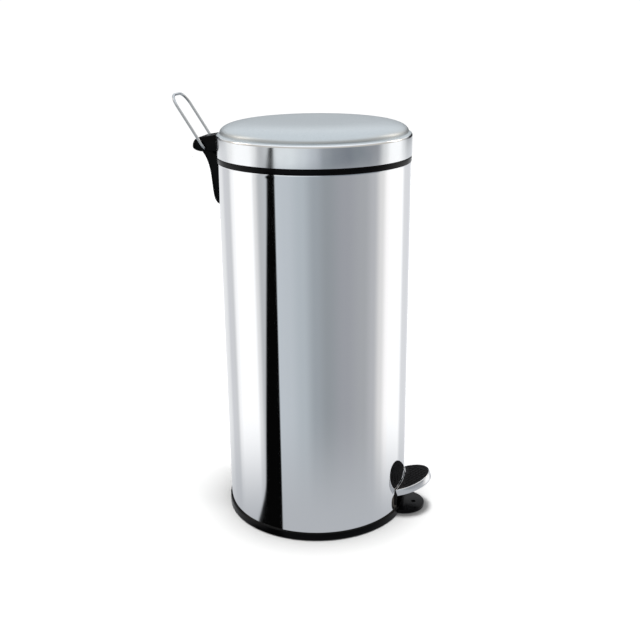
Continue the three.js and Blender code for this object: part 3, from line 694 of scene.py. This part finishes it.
def bodySheet():
    # rolled sheet with an opening for the pedal and a faint swell where the top rim spreads it
    radius, top = body["radius"], shellHigh.z
    slotAngle = math.asin(body["slotHalf"] / radius)
    across, columns = body["slotColumns"], body["columns"]
    overSlot = [-slotAngle + 2 * slotAngle * k / across for k in range(across)]
    rest = [slotAngle + (2 * math.pi - 2 * slotAngle) * k / columns for k in range(columns)]
    angles = overSlot + rest
    levels = [(radius, shellLow.z), (radius, body["slotTop"])]
    straight = top - body["swellLow"]
    for k in range(1, body["rows"] + 1):
        levels.append((radius, body["slotTop"] + (straight - body["slotTop"]) * k / body["rows"]))
    for k in range(1, body["swellRows"] + 1):
        share = k / body["swellRows"]
        swell = body["swell"] * math.sin(math.pi * share) ** 2
        levels.append((radius + swell, straight + share * body["swellLow"]))
    bm = bmesh.new()
    rows = [
        [bm.verts.new(Vector((r * math.sin(a), -r * math.cos(a), z)) * mm) for a in angles]
        for r, z in levels
    ]
    for i in range(len(levels) - 1):
        for j in range(len(angles)):
            if i == 0 and j < across:
                continue
            k = (j + 1) % len(angles)
            bm.faces.new((rows[i][j], rows[i][k], rows[i + 1][k], rows[i + 1][j]))
    loose = [v for v in bm.verts if not v.link_faces]
    bmesh.ops.delete(bm, geom=loose, context="VERTS")
    made = fromBmesh("body_sheet", bm)
    wall = made.modifiers.new("wall", "SOLIDIFY")
    wall.thickness = body["sheet"] * mm
    wall.offset = -1
    settle(made)
    return publish(finish(made, steel), "can", "polished_steel", "outer_shell")


bodySheet()
print("body sheet ready")

# ---- base ----
trayLow, trayHigh = corners("base_tray")
tray = {
    "ring": trayHigh.x, "ringTop": 13, "raise": trayLow.z, "floor": 3, "floorTop": 6,
    "upstand": 144.9, "upstandInner": 143.2, "upstandTop": trayHigh.z, "ledge": 146.3,
    "tongueHalf": 34, "tongueReach": -trayLow.y, "tongueTop": 8, "hole": 3.75, "holeAhead": 18.4,
    "notchHalf": 32, "edge": 1.1,
}


def tongueOutline():
    half, radius = tray["tongueHalf"], body["radius"]
    reach = tray["tongueReach"] - radius
    steps = 48
    curve = [
        (half * math.cos(math.pi * k / steps), -radius - reach * math.sin(math.pi * k / steps))
        for k in range(steps + 1)
    ]
    return [(half, 10 - radius)] + curve + [(-half, 10 - radius)]


def baseTray():
    t = tray
    ring = turned("base_tray", [
        (0, t["floor"]), (t["ring"] - 10, t["floor"]), (t["ring"] - 8, t["raise"]),
        (t["ring"], t["raise"], 0.9), (t["ring"], t["ringTop"], t["edge"]),
        (t["ledge"], t["ringTop"], 0.3), (t["ledge"], t["floorTop"]), (t["upstand"], t["floorTop"]),
        (t["upstand"], t["upstandTop"], 0.4), (t["upstandInner"], t["upstandTop"], 0.4),
        (t["upstandInner"], t["floorTop"]), (0, t["floorTop"]),
    ], gloss, sides=240)
    tongue = planSlab("tongue", tongueOutline(), t["raise"], t["tongueTop"], 1.3)
    cut(tongue, bar("core", "z", t["ring"] - 1, -1, t["ringTop"] + 1, (0, 0), 240))
    join(ring, tongue)
    half = t["notchHalf"]
    notch = block("notch", (-half, half), (-t["ring"] - 2, 6 - t["upstand"]),
                  (t["tongueTop"] + 0.05, t["upstandTop"] + 1))
    hole = bar("hole", "z", t["hole"], -1, t["ringTop"], (0, -body["radius"] - t["holeAhead"]), 48)
    cut(ring, notch, hole)
    return publish(finish(ring, gloss), "can", "gloss_black", "base_tray")


pad = {"radius": 15, "thickness": 2.7, "stem": 3, "grooves": (6, 12), "grooveDepth": 0.7}


def footPads():
    # turned discs with two grooves in the sole and a stem that presses into the base
    stemTop = corners("foot_pad_centre")[1].z
    sole = [(0, 0)]
    deep = pad["grooveDepth"]
    for r in pad["grooves"]:
        sole += [(r - 1, 0, 0.3), (r - 0.4, deep), (r + 0.4, deep), (r + 1, 0, 0.3)]
    disc = turned("pad", sole + [
        (pad["radius"], 0, 0.6), (pad["radius"], pad["thickness"], 0.5), (pad["stem"], pad["thickness"]),
        (pad["stem"], stemTop, 0.3), (0, stemTop),
    ], rubber, sides=64)
    names = ["centre", "rear_right", "rear_left", "front_left", "front_right"]
    nodes = ["foot_pad_" + name for name in names]
    places = []
    for node in nodes:
        low, high = corners(node)
        places.append(((low.x + high.x) / 2, (low.y + high.y) / 2, 0))
    made = copies("foot_pads", disc, places, rubber)
    return publish(made, "can", "rubber", *nodes)


baseTray()
footPads()
print("base ready")

# ---- pedal opening ----
bezel = {"border": 8, "bottom": 20, "rise": 5, "depth": 0.9, "bevel": 0.35, "corner": 5,
         "strip": 3, "strips": 14}


def pedalBezel():
    # flat frame with eased edges, then bent to the body
    outer, inner = body["slotHalf"] + bezel["border"], body["slotHalf"] + 0.5
    top, slotTop = body["slotTop"] + bezel["rise"], body["slotTop"] - 0.5
    outline = rounded([
        (-outer, bezel["bottom"], 2), (-inner, bezel["bottom"], 0.6), (-inner, slotTop),
        (inner, slotTop), (inner, bezel["bottom"], 0.6), (outer, bezel["bottom"], 2),
        (outer, top, bezel["corner"]), (-outer, top, bezel["corner"]),
    ])
    made = frontSlab("pedal_bezel", outline, 0, bezel["depth"], bezel["bevel"])
    bm = bmesh.new()
    bm.from_mesh(made.data)
    for k in range(-bezel["strips"], bezel["strips"] + 1):
        bmesh.ops.bisect_plane(bm, geom=bm.verts[:] + bm.edges[:] + bm.faces[:], dist=1e-7,
                               plane_co=(k * bezel["strip"] * mm, 0, 0), plane_no=(1, 0, 0))
    skin = body["radius"] + fit
    for v in bm.verts:
        reach = skin + v.co.y / mm
        v.co.y = -math.sqrt(reach ** 2 - (v.co.x / mm) ** 2) * mm
    bmesh.ops.recalc_face_normals(bm, faces=bm.faces)
    bm.to_mesh(made.data)
    bm.free()
    return publish(finish(made, matt), "can", "matt_black", "pedal_bezel")


pedalBezel()

# ---- top rim ----
rimLow, rimHigh = corners("top_rim")
rim = {"inner": 143.4, "outer": 144.9, "lip": rimHigh.x, "drop": 3.5}


def topRim():
    # moulded ring pressed over the body's top edge, with a rounded lip outside the steel
    seat, drop, skin = shellHigh.z + fit, shellHigh.z - rim["drop"], body["radius"] + fit
    made = turned("top_rim", [
        (rim["inner"], rimLow.z, 0.3), (rim["outer"], rimLow.z, 0.3), (rim["outer"], seat),
        (skin, seat), (skin, drop), (rim["lip"], drop, 0.4), (rim["lip"], rimHigh.z, 1.0),
        (rim["inner"], rimHigh.z, 0.8),
    ], gloss, sides=240)
    return publish(made, "can", "gloss_black", "top_rim")


topRim()
print("rims ready")

# ---- pedal ----
pivotLow, pivotHigh = corners("lever_axle")
pivot = ((pivotLow.y + pivotHigh.y) / 2, (pivotLow.z + pivotHigh.z) / 2)
tread = {
    "half": 42.5, "reach": 44.3, "tilt": 19.3, "gap": 1.2, "top": 50.7,
    "skirt": 11, "wall": 1.2, "recess": 2.2, "plate": 1, "padInset": 1.5, "padProud": 0.3,
    "rearSteps": 40, "frontSteps": 96,
}
treadPlace = Matrix.Translation(Vector((0, -body["radius"] - tread["gap"], tread["top"])) * mm) \
    @ Matrix.Rotation(-math.radians(tread["tilt"]), 4, "X")


def treadOutline(inset):
    # rear edge follows the body, front is half an ellipse; in the tread's own plane
    half, radius = tread["half"] - inset, body["radius"] + tread["gap"]
    slope = math.cos(math.radians(tread["tilt"]))
    made = []
    rear, front = tread["rearSteps"], tread["frontSteps"]
    for k in range(rear + 1):
        x = -half + 2 * half * k / rear
        made.append((x, (radius - math.sqrt(radius ** 2 - x * x)) / slope - inset))
    for k in range(front + 1):
        a = math.pi * k / front
        made.append((half * math.cos(a), -(tread["reach"] - inset) * math.sin(a)))
    return made


def lofted(name, rings):
    # rings of equal count, from one end to the other, each end closed
    bm = bmesh.new()
    rows = [[bm.verts.new(Vector(p) * mm) for p in ring] for ring in rings]
    count = len(rings[0])
    for a, b in zip(rows, rows[1:]):
        for i in range(count):
            j = (i + 1) % count
            bm.faces.new((a[i], a[j], b[j], b[i]))
    bm.faces.new(rows[0][::-1])
    bm.faces.new(rows[-1])
    bmesh.ops.recalc_face_normals(bm, faces=bm.faces)
    return fromBmesh(name, bm)


def pedalTread():
    # pressed tray: a folded rim round the insert and a skirt that stops at the body
    plateLow = -tread["recess"] - tread["plate"]
    rearEnd = tread["rearSteps"]

    def ring(inset, z, fromBottom=False):
        # the rear rim is half as wide as the rest, and has no skirt below it
        made = []
        for i, (x, y) in enumerate(treadOutline(inset)):
            atRear = 0 < i < rearEnd
            if atRear:
                y += inset * 0.5
            foot = plateLow + 0.2 if atRear else -tread["skirt"]
            made.append((x, y, foot + z if fromBottom else z))
        return made

    rings = [
        ring(1.2, plateLow), ring(1.2, 0.35, True), ring(1.0, 0.1, True), ring(0.6, 0, True),
        ring(0.2, 0.1, True), ring(0, 0.35, True), ring(0, -1.6), ring(0.05, -0.8), ring(0.18, -0.3),
        ring(0.42, -0.05), ring(0.65, 0), ring(0.9, -0.06), ring(1.1, -0.25), ring(1.2, -0.6),
        ring(1.2, -tread["recess"]),
    ]
    made = moved(lofted("pedal_tread", rings), treadPlace)
    return publish(finish(made, chrome, 50), "pedal", "chrome_steel", "pedal_tread")


hatch = {
    "pitch": 6.6, "stud": 5.4, "height": 1.3, "turn": 45, "count": 25, "wide": 1.25, "deep": 0.8,
    "topShare": 0.22, "footShare": 0.72, "margin": 4.2, "clear": 3.2, "rearClear": 1.6,
    "sunk": 0.7, "slope": 0.8, "bite": 0.05,
}


def hatchTree():
    # a lattice of low four-sided studs, kept inside the insert's outline
    tree, given = newTree("cross-hatched studs", Pitch="float", Stud="float", Height="float",
                          Half="float", Reach="float", Rear="float", Material="material")
    count, stretch = hatch["count"], (hatch["wide"], hatch["deep"], 1)

    def maths(operation, a, b):
        return addNode(tree, "ShaderNodeMath", {0: a, 1: b}, operation=operation).outputs[0]

    span = maths("MULTIPLY", given.outputs["Pitch"], count - 1.0)
    grid = addNode(tree, "GeometryNodeMeshGrid", {
        "Size X": span, "Size Y": span, "Vertices X": count, "Vertices Y": count,
    })
    turn = addNode(tree, "GeometryNodeTransform", {
        "Geometry": grid.outputs[0], "Rotation": (0, 0, math.radians(hatch["turn"])), "Scale": stretch,
    })
    here = addNode(tree, "GeometryNodeInputPosition").outputs[0]
    place = addNode(tree, "ShaderNodeSeparateXYZ", {0: here})
    x, y = place.outputs["X"], place.outputs["Y"]
    across = maths("POWER", maths("ABSOLUTE", maths("DIVIDE", x, given.outputs["Half"]), 0.0), 2.0)
    ahead = maths("POWER", maths("DIVIDE", maths("MINIMUM", y, 0.0), given.outputs["Reach"]), 2.0)
    beyond = maths("GREATER_THAN", maths("ADD", across, ahead), 1.0)
    behind = maths("GREATER_THAN", y, given.outputs["Rear"])
    outside = maths("MAXIMUM", beyond, behind)
    kept = addNode(tree, "GeometryNodeDeleteGeometry", {
        "Geometry": turn.outputs[0], "Selection": outside,
    }, domain="POINT")
    stud = addNode(tree, "GeometryNodeMeshCone", {
        "Vertices": 4, "Radius Top": maths("MULTIPLY", given.outputs["Stud"], hatch["topShare"]),
        "Radius Bottom": maths("MULTIPLY", given.outputs["Stud"], hatch["footShare"]),
        "Depth": given.outputs["Height"],
    })
    shaped = addNode(tree, "GeometryNodeTransform", {"Geometry": stud.outputs["Mesh"], "Scale": stretch})
    placed = addNode(tree, "GeometryNodeInstanceOnPoints", {
        "Points": kept.outputs[0], "Instance": shaped.outputs[0],
    })
    return closeTree(tree, placed.outputs[0], given.outputs["Material"])


def treadPad():
    # rubber insert: a plain border round a slightly sunk field of low studs
    low = tread["padInset"] - tread["wall"] - tread["recess"]
    top = tread["padProud"]
    sections = [(0.3, low), (0, low + 0.3), (0, top - 0.5), (0.12, top - 0.2), (0.4, top)]
    rings = [[(x, y, z) for x, y in treadOutline(tread["padInset"] + inset)] for inset, z in sections]
    field, sunk, clear = hatch["margin"], hatch["sunk"], hatch["clear"]
    rings += [[(x, y, top) for x, y in treadOutline(tread["padInset"] + field - hatch["slope"])]]
    rings += [[(x, y, top - sunk) for x, y in treadOutline(tread["padInset"] + field)]]
    base = finish(lofted("tread_pad", rings), rubber)
    studs = pointMesh("studs", [(0, 0, 0)])
    runTree(
        studs, hatchTree(), Pitch=hatch["pitch"] * mm, Stud=hatch["stud"] * mm, Height=hatch["height"] * mm,
        Half=(tread["half"] - field - clear) * mm, Reach=(tread["reach"] - field - clear) * mm,
        Rear=-(field + hatch["rearClear"]) * mm, Material=rubber,
    )
    moved(studs, Matrix.Translation((0, 0, (top - sunk - hatch["bite"]) * mm)))
    bm = bmesh.new()
    bm.from_mesh(base.data)
    bm.from_mesh(studs.data)
    bm.to_mesh(base.data)
    bm.free()
    bpy.data.objects.remove(studs)
    moved(base, treadPlace)
    return publish(finish(base, rubber), "pedal", "rubber", "tread_pad")


lever = {
    "half": 14, "tail": 6, "thickness": 3, "tailY": 140.5, "tailZ": 14, "bush": 6, "bore": 3.3,
    "overPivot": 5, "ahead": 5, "rise": 9, "plateFrom": 9, "plateTo": 30, "bend": 4, "edge": 0.4,
    "taperBack": 17, "taperFront": 40,
}


def treadPoint(forward, below):
    t = math.radians(tread["tilt"])
    return (
        -body["radius"] - tread["gap"] - forward * math.cos(t) - below * math.sin(t),
        tread["top"] + forward * math.sin(t) - below * math.cos(t),
    )


def pedalLever():
    # a flat steel strip on a pivot bush, cranked up under the tread and narrower at its tail
    depth = tread["recess"] + tread["plate"] + fit + lever["thickness"] / 2
    line = [Vector(p) for p in (
        (lever["tailY"], lever["tailZ"]), (pivot[0], pivot[1] + lever["overPivot"]),
        (-body["radius"] - lever["ahead"], pivot[1] + lever["rise"]),
        treadPoint(lever["plateFrom"], depth), treadPoint(lever["plateTo"], depth),
    )]
    left, right = [], []
    for i, p in enumerate(line):
        into = (p - line[max(i - 1, 0)]).normalized() if i else Vector((0, 0))
        out = (line[min(i + 1, len(line) - 1)] - p).normalized() if i < len(line) - 1 else Vector((0, 0))
        along = (into + out).normalized()
        normal = Vector((-along.y, along.x))
        turn = 1 if i in (0, len(line) - 1) else abs(normal.dot(Vector((-out.y, out.x))))
        offset = normal * lever["thickness"] / 2 / turn
        left.append(tuple(p + offset))
        right.insert(0, tuple(p - offset))
    count, half, edge = len(line), lever["half"], lever["edge"]
    outline = rounded([
        (a, b, lever["bend"] if 0 < i % count < count - 1 else 0) for i, (a, b) in enumerate(left + right)
    ])
    made = sideSlab("pedal_lever", outline, -half, half, edge)
    for side in (1, -1):
        narrow, wide, far = lever["tail"] * side, half * side, 40 * side
        back, front = lever["tailY"] + 5, pivot[0] + lever["taperFront"]
        start = back - lever["taperBack"]
        taper = [(narrow, back), (narrow, start), (wide, front), (far, front), (far, back)]
        cut(made, planSlab("taper", taper, 0, 45))
    join(made, bar("bush", "x", lever["bush"], -half, half, pivot, 48, edge))
    cut(made, bar("bore", "x", lever["bore"], -half - 1, half + 1, pivot, 48))
    return publish(finish(made, zinc), "pedal", "zinc_steel", "pedal_lever")


pedalTread()
treadPad()
pedalLever()
print("pedal ready")

# ---- push rod ----
rodLow, rodHigh = corners("push_rod")
tipLow, tipHigh = corners("rod_tip")
footLow, footHigh = corners("rod_foot")
rod = {"y": (rodLow.y + rodHigh.y) / 2, "radius": 2, "capRadius": 4, "bore": 2.3, "capWall": 2.7}


def pushRod():
    place = Matrix.Translation((0, rod["y"] * mm, 0))
    shaft = turned("push_rod", [
        (0, rodLow.z), (rod["radius"], rodLow.z, 0.4), (rod["radius"], rodHigh.z, 0.4), (0, rodHigh.z),
    ], zinc, sides=32)
    publish(moved(shaft, place), "rod", "zinc_steel", "push_rod")
    tip = turned("rod_tip", [
        (0, tipHigh.z), (rod["capRadius"], tipHigh.z, 1.2), (rod["capRadius"], tipLow.z, 0.5),
        (rod["bore"], tipLow.z), (rod["bore"], tipHigh.z - rod["capWall"]), (0, tipHigh.z - rod["capWall"]),
    ], matt, sides=48)
    publish(moved(tip, place), "rod", "matt_black", "rod_tip")
    foot = turned("rod_foot", [
        (0, footLow.z), (rod["capRadius"], footLow.z, 1.2), (rod["capRadius"], footHigh.z, 0.5),
        (rod["bore"], footHigh.z), (rod["bore"], rodLow.z - fit), (0, rodLow.z - fit),
    ], matt, sides=48)
    publish(moved(foot, place), "rod", "matt_black", "rod_foot")


pushRod()
print("push rod ready")

# ---- hinge ----
pinLow, pinHigh = corners("hinge_pin")
hinge = {
    "y": (pinLow.y + pinHigh.y) / 2, "z": (pinLow.z + pinHigh.z) / 2, "pin": 4, "bore": 2.6, "play": 4.4,
    "barrel": 9,
}
leg = {
    "half": 15, "bottom": shellHigh.z - 75, "wall": 3, "boss": 4, "bossEnds": (12.5, 16), "bevel": 2.2,
    "screws": (shellHigh.z - 56, shellHigh.z - 20), "screwReach": 9.5,
}
screw = {"shank": 1.9, "head": 4, "headHeight": 2.2, "cross": 0.8, "crossDeep": 1.3, "crossHalf": 2.2}


def legOutline():
    r, foot, top = body["radius"], leg["bottom"], shellHigh.z
    points = [(r - 6, foot), (r + 4, foot)]
    points += quadratic(points[-1], (r + 11.5, foot + 1.5), (r + 13.9, foot + 16))
    points.append((r + 16, foot + 36))
    points += quadratic(points[-1], (r + 17.4, foot + 59), (r + 23.4, foot + 71))
    points += quadratic(points[-1], (r + 25.5, foot + 76), (r + 28.5, foot + 80))
    points += [(hinge["y"] + 8, hinge["z"] - 4), (hinge["y"] - 8, hinge["z"] - 4)]
    points += [(r + 3.5, top + 2), (r + 1.4, top), (r - 6, top)]
    return points


def hingeLeg():
    # moulded bracket: hollow towards the body, two screw bosses, and the hinge barrel on top
    r, half, wall, foot, top = body["radius"], leg["half"], leg["wall"], leg["bottom"], shellHigh.z
    at = (hinge["y"], hinge["z"])
    made = sideSlab("hinge_bracket", legOutline(), -half, half, leg["bevel"])
    hollow = sideSlab("hollow", [
        (r - 10, foot + 6), (r + 5, foot + 6), (r + 10.4, foot + 15), (r + 12.6, foot + 36),
        (r + 14, foot + 52), (r + 17.5, foot + 66), (r + 10, top - 4), (r - 10, top - 4),
    ], wall - half, half - wall)
    cut(made, hollow)
    join(made, bar("barrel", "x", hinge["barrel"], -half, half, at, 64, 0.8))
    for z, end in zip(leg["screws"], leg["bossEnds"]):
        join(made, bar("boss", "y", leg["boss"], r + 2.6, r + end, (0, z), 32))
        cut(made, bar("thread", "y", screw["shank"] + fit, r - 2, r + leg["screwReach"] + fit, (0, z), 24))
    cut(made, bar("bore", "x", hinge["play"], -half - 1, half + 1, at, 64))
    cut(made, bar("skin", "z", r + fit, 0, top + 1, (0, 0), 240))
    cut(made, bar("lip", "z", rimHigh.x + fit, top - 6, rimHigh.z + 1, (0, 0), 240))
    return publish(finish(made, gloss), "can", "gloss_black", "hinge_bracket")


lidLow, lidHigh = corners("lid_shell")
earLow, earHigh = corners("hinge_ear")
lidRadius = lidHigh.x
ear = {"half": earHigh.x, "wall": 3, "top": 605.1, "bottom": earLow.z, "rear": earHigh.y, "bevel": 2.6,
       "skin": 1}


def earOutline():
    front, low, top, rear = body["radius"] - 6, ear["bottom"], ear["top"], ear["rear"]
    points = [(front, low), (rear - 17, low)]
    points += bezier(points[-1], (rear - 6, low + 0.6), (rear, low + 3.5), (rear, low + 8))
    points += bezier(points[-1], (rear, low + 15), (rear - 4, top - 1.5), (rear - 12, top))
    points += [(lidRadius, top + 4.9), (front, top + 5)]
    return points


def hingeEar():
    # moulded cover on the lid: its cheeks drop over the pin through slots open at the bottom
    half, wall, low, top, rear = ear["half"], ear["wall"], ear["bottom"], ear["top"], ear["rear"]
    made = sideSlab("hinge_ear", earOutline(), -half, half, ear["bevel"])
    front = lidRadius + 4.5
    hollow = sideSlab("hollow", [
        (front, low - 5), (rear + 5, low - 5), (rear + 5, low + 12.2), (rear - wall - 0.4, low + 12.2),
        (rear - wall - 4, top - wall - 4.5), (rear - wall - 9.5, top - wall), (front, top - wall + 3),
    ], wall - half, half - wall)
    clear = bar("clear", "z", lidRadius + fit, lidLow.z - 10, lidHigh.z, (0, 0), 240)
    at, inside = (hinge["y"], hinge["z"]), half - ear["skin"]
    bore = bar("bore", "x", hinge["play"], -inside, inside, at, 64)
    mouth = block("mouth", (-inside, inside), (hinge["y"] - hinge["play"], hinge["y"] + hinge["play"]),
                  (low - 1, hinge["z"]))
    eye = bar("eye", "x", hinge["bore"], -half - 1, half + 1, at, 48)
    cut(made, hollow, clear, bore, mouth, eye)
    return publish(finish(made, gloss), "lid", "gloss_black", "hinge_ear")


def hingePin():
    end = pinHigh.x - ear["skin"]
    made = turned("hinge_pin", [
        (hinge["bore"], -end, 0.3), (hinge["pin"], -end, 0.5), (hinge["pin"], end, 0.5),
        (hinge["bore"], end, 0.3),
    ], zinc, sides=64)
    place = Matrix.Translation((0, hinge["y"] * mm, hinge["z"] * mm)) @ Matrix.Rotation(math.pi / 2, 4, "Y")
    return publish(moved(made, place), "can", "zinc_steel", "hinge_pin")


def screws(name, nodes, rider):
    # pan-head screws with a cross recess, heads towards the middle of the bin
    low, high = corners(nodes[0])
    length = high.y - low.y
    shape = turned("screw", [
        (0, 0), (1.5, 0), (screw["head"], 1.1, 0.6), (screw["head"], screw["headHeight"]),
        (screw["shank"], screw["headHeight"]), (screw["shank"], length - 1), (0.9, length), (0, length),
    ], zinc, sides=32)
    narrow = (-screw["cross"] / 2, screw["cross"] / 2)
    wide = (-screw["crossHalf"], screw["crossHalf"])
    deep = (-1, screw["crossDeep"])
    cut(shape, block("cross", narrow, wide, deep), block("cross", wide, narrow, deep))
    moved(shape, Matrix.Rotation(-math.pi / 2, 4, "X"))
    places = []
    for node in nodes:
        low, high = corners(node)
        places.append(((low.x + high.x) / 2, low.y, (low.z + high.z) / 2))
    return publish(copies(name, shape, places, zinc), rider, "zinc_steel", *nodes)


hingeLeg()
hingeEar()
hingePin()
screws("leg_screws", ["leg_screw_lower", "leg_screw_upper"], "can")
screws("ear_screws", ["ear_screw_left", "ear_screw_right"], "lid")
print("hinge ready")

# ---- lid ----
lid = {
    "shoulder": 142, "shoulderZ": 614.9, "sheet": 0.8, "crownPower": 5, "edgePower": 2.3,
    "skirtTop": 5.5, "brightEdge": 1.2, "hem": 0.3, "steps": 46, "crowding": 0.8,
}


def crownHeight(radius):
    share = min(radius / lid["shoulder"], 1.0)
    rise = lidHigh.z - lid["shoulderZ"]
    return lid["shoulderZ"] + rise * (1 - share ** lid["crownPower"]) ** (1 / lid["edgePower"])


def lidShell():
    # one pressing: the crown is satin as far as its rounded edge, the skirt below is polished
    steps, crowding = lid["steps"], lid["crowding"]
    radii = [lid["shoulder"] * math.sin(math.pi / 2 * k / steps) ** crowding for k in range(steps + 1)]
    crown = [(r, crownHeight(r)) for r in radii]
    edge = bezier((lid["shoulder"], lid["shoulderZ"]), (lidRadius - 3, lid["shoulderZ"] - 0.8),
                  (lidRadius, lid["shoulderZ"] - 1.6), (lidRadius, lid["shoulderZ"] - lid["skirtTop"]))
    outer = crown + edge + [(lidRadius, lidLow.z + lid["hem"])]
    inner = [(max(r - lid["sheet"], 0), z - lid["sheet"]) for r, z in outer[:-1]]
    hem = [(lidRadius - lid["sheet"] / 2, lidLow.z), (lidRadius - lid["sheet"], lidLow.z + lid["hem"])]
    profile = outer + hem + [p for p in reversed(inner) if p[0] > 0] + [(0, lidHigh.z - lid["sheet"])]
    made = turned("lid_shell", profile, satin, sides=240, sharp=40)
    made.data.materials.append(skirt)
    for face in made.data.polygons:
        reach = face.center.to_2d().length / mm
        if reach > lidRadius - lid["brightEdge"] or face.normal.z < 0:
            face.material_index = 1
    return publish(made, "lid", "satin_steel", "lid_shell")


linerHigh = corners("lid_liner")[1]
liner = {"inner": 143.6, "outer": 146.4, "bottom": 583.7, "web": 602, "webInner": 118}
lug = {"y": 140.13, "z": 573.2, "tip": 2.5, "half": 5, "front": 3, "back": 1.3}


def lidLiner():
    made = turned("lid_liner", [
        (liner["inner"], liner["bottom"], 0.5), (liner["outer"], liner["bottom"], 0.5),
        (liner["outer"], linerHigh.z, 0.5), (liner["webInner"], linerHigh.z, 0.6),
        (liner["webInner"], liner["web"], 0.6), (liner["inner"], liner["web"], 1.5),
    ], matt, sides=192)
    half, y, z = lug["half"], lug["y"], lug["z"]
    arm = block("arm", (-half, half), (y - lug["front"], y + lug["back"]), (z, liner["web"] + 1))
    join(made, arm, bar("tip", "x", lug["tip"], -half, half, (y, z), 32))
    return publish(finish(made, matt), "lid", "matt_black", "lid_liner")


lidShell()
lidLiner()
print("lid ready")

# ---- carrying handle ----
handle = {"wire": 2.2, "half": 26.5, "height": 92.6, "bend": 18, "tilt": 32.7, "insert": 14.5, "corner": 5}


def arc(centre, radius, start, end, steps):
    return [
        (centre[0] + radius * math.cos(math.radians(start + (end - start) * k / steps)),
         centre[1] + radius * math.sin(math.radians(start + (end - start) * k / steps)))
        for k in range(steps + 1)
    ]


def carryHandle():
    # a wire loop whose ends turn in and sit in the hinge tube
    w, top, turn, bend = handle["half"], handle["height"], handle["corner"], handle["bend"]
    path = [(handle["insert"] - w, 0)]
    path += arc((turn - w, turn), turn, 270, 180, 12)
    path += arc((bend - w, top - bend), bend, 180, 90, 24)
    path += arc((w - bend, top - bend), bend, 90, 0, 24)
    path += arc((w - turn, turn), turn, 0, -90, 12)
    path += [(w - handle["insert"], 0)]
    made = wire("carry_handle", [(x, 0, s) for x, s in path], handle["wire"], brightWire)
    place = Matrix.Translation((0, hinge["y"] * mm, hinge["z"] * mm)) \
        @ Matrix.Rotation(-math.radians(handle["tilt"]), 4, "X")
    return publish(moved(made, place), "handle", "chrome_wire", "carry_handle")


carryHandle()
print("handle ready")

# ---- inner bucket ----
bucketLow, bucketHigh = corners("inner_bucket")
bailLow, bailHigh = corners("bucket_bail")
bucket = {
    "rim": 130, "top": 126.6, "base": 118, "wall": 1.8, "rimDepth": 8, "ear": 5, "earHalf": 6,
    "bailRadius": bailHigh.x - 1.8, "bailWire": 1.8, "bailZ": (bailLow.z + bailHigh.z) / 2,
    "grip": 3.6, "gripHalf": 20, "gripSteps": 24, "bailTurn": 4,
}


def innerBucket():
    low, top, b = bucketLow.z, bucketHigh.z, bucket
    made = turned("inner_bucket", [
        (0, low + 1), (60, low + 1), (61.5, low), (b["base"] - 3, low, 2), (b["base"], low + 2.6, 3),
        (b["top"], top - b["rimDepth"]), (b["rim"], top - b["rimDepth"], 0.5), (b["rim"], top, 1.2),
        (b["top"] - b["wall"], top, 0.9), (b["base"] - b["wall"], low + 3, 3),
        (b["base"] - 5, low + 2.2), (61.5, low + 2.2), (60, low + 3), (0, low + 3),
    ], charcoal, sides=192)
    for side in (-1, 1):
        x = sorted((side * (b["top"] - 1), side * (b["top"] + b["ear"])))
        span = (-b["earHalf"], b["earHalf"])
        join(made, block("ear", x, span, (b["bailZ"] - b["earHalf"], b["bailZ"] + b["earHalf"]), 1.2))
        x = sorted((side * (b["top"] + 0.6), side * (b["top"] + 9)))
        cut(made, bar("bore", "x", b["bailWire"] + 0.4, x[0], x[1], (0, b["bailZ"]), 32))
    return publish(finish(made, charcoal), "bucket", "grey_plastic", "inner_bucket")


def bucketBail():
    # a half hoop whose ends turn into the bucket's two ears, with a tube for a grip
    b = bucket
    r, turn = b["bailRadius"], b["bailTurn"]
    path = [(-b["top"] - 2, 0), (-r + 1.2, -0.1)] + arc((0, 0), r, 180 + turn, 360 - turn, 96)
    path += [(r - 1.2, -0.1), (b["top"] + 2, 0)]
    made = wire("bucket_bail", [(x, y, b["bailZ"]) for x, y in path], b["bailWire"], zinc)
    publish(made, "bail", "zinc_steel", "bucket_bail")
    half = b["gripHalf"]
    hold = [(x, y, b["bailZ"]) for x, y in arc((0, 0), r, -90 - half, half - 90, b["gripSteps"])]
    grip = wire("bail_grip", hold, b["grip"], charcoal, 32)
    publish(grip, "bail", "grey_plastic", "bail_grip")


innerBucket()
bucketBail()
print("bucket ready")

# ---- frame pieces that keep their own shape ----
kept = {
    "bucket_seat": matt, "axle_bracket": zinc, "bracket_rivet_front": zinc, "bracket_rivet_rear": zinc,
    "lever_axle": zinc, "axle_clip": zinc, "tread_rivet_left": zinc, "tread_rivet_right": zinc,
    "rod_guide_lower": matt, "rod_guide_upper": matt, "bracket_backplate": zinc,
    "lid_buffer_right": rubber, "lid_buffer_left": rubber, "lid_buffer_front": rubber,
}
for node, material in kept.items():
    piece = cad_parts[node]
    piece.data.materials.clear()
    piece.data.materials.append(material)
print("kept pieces painted")
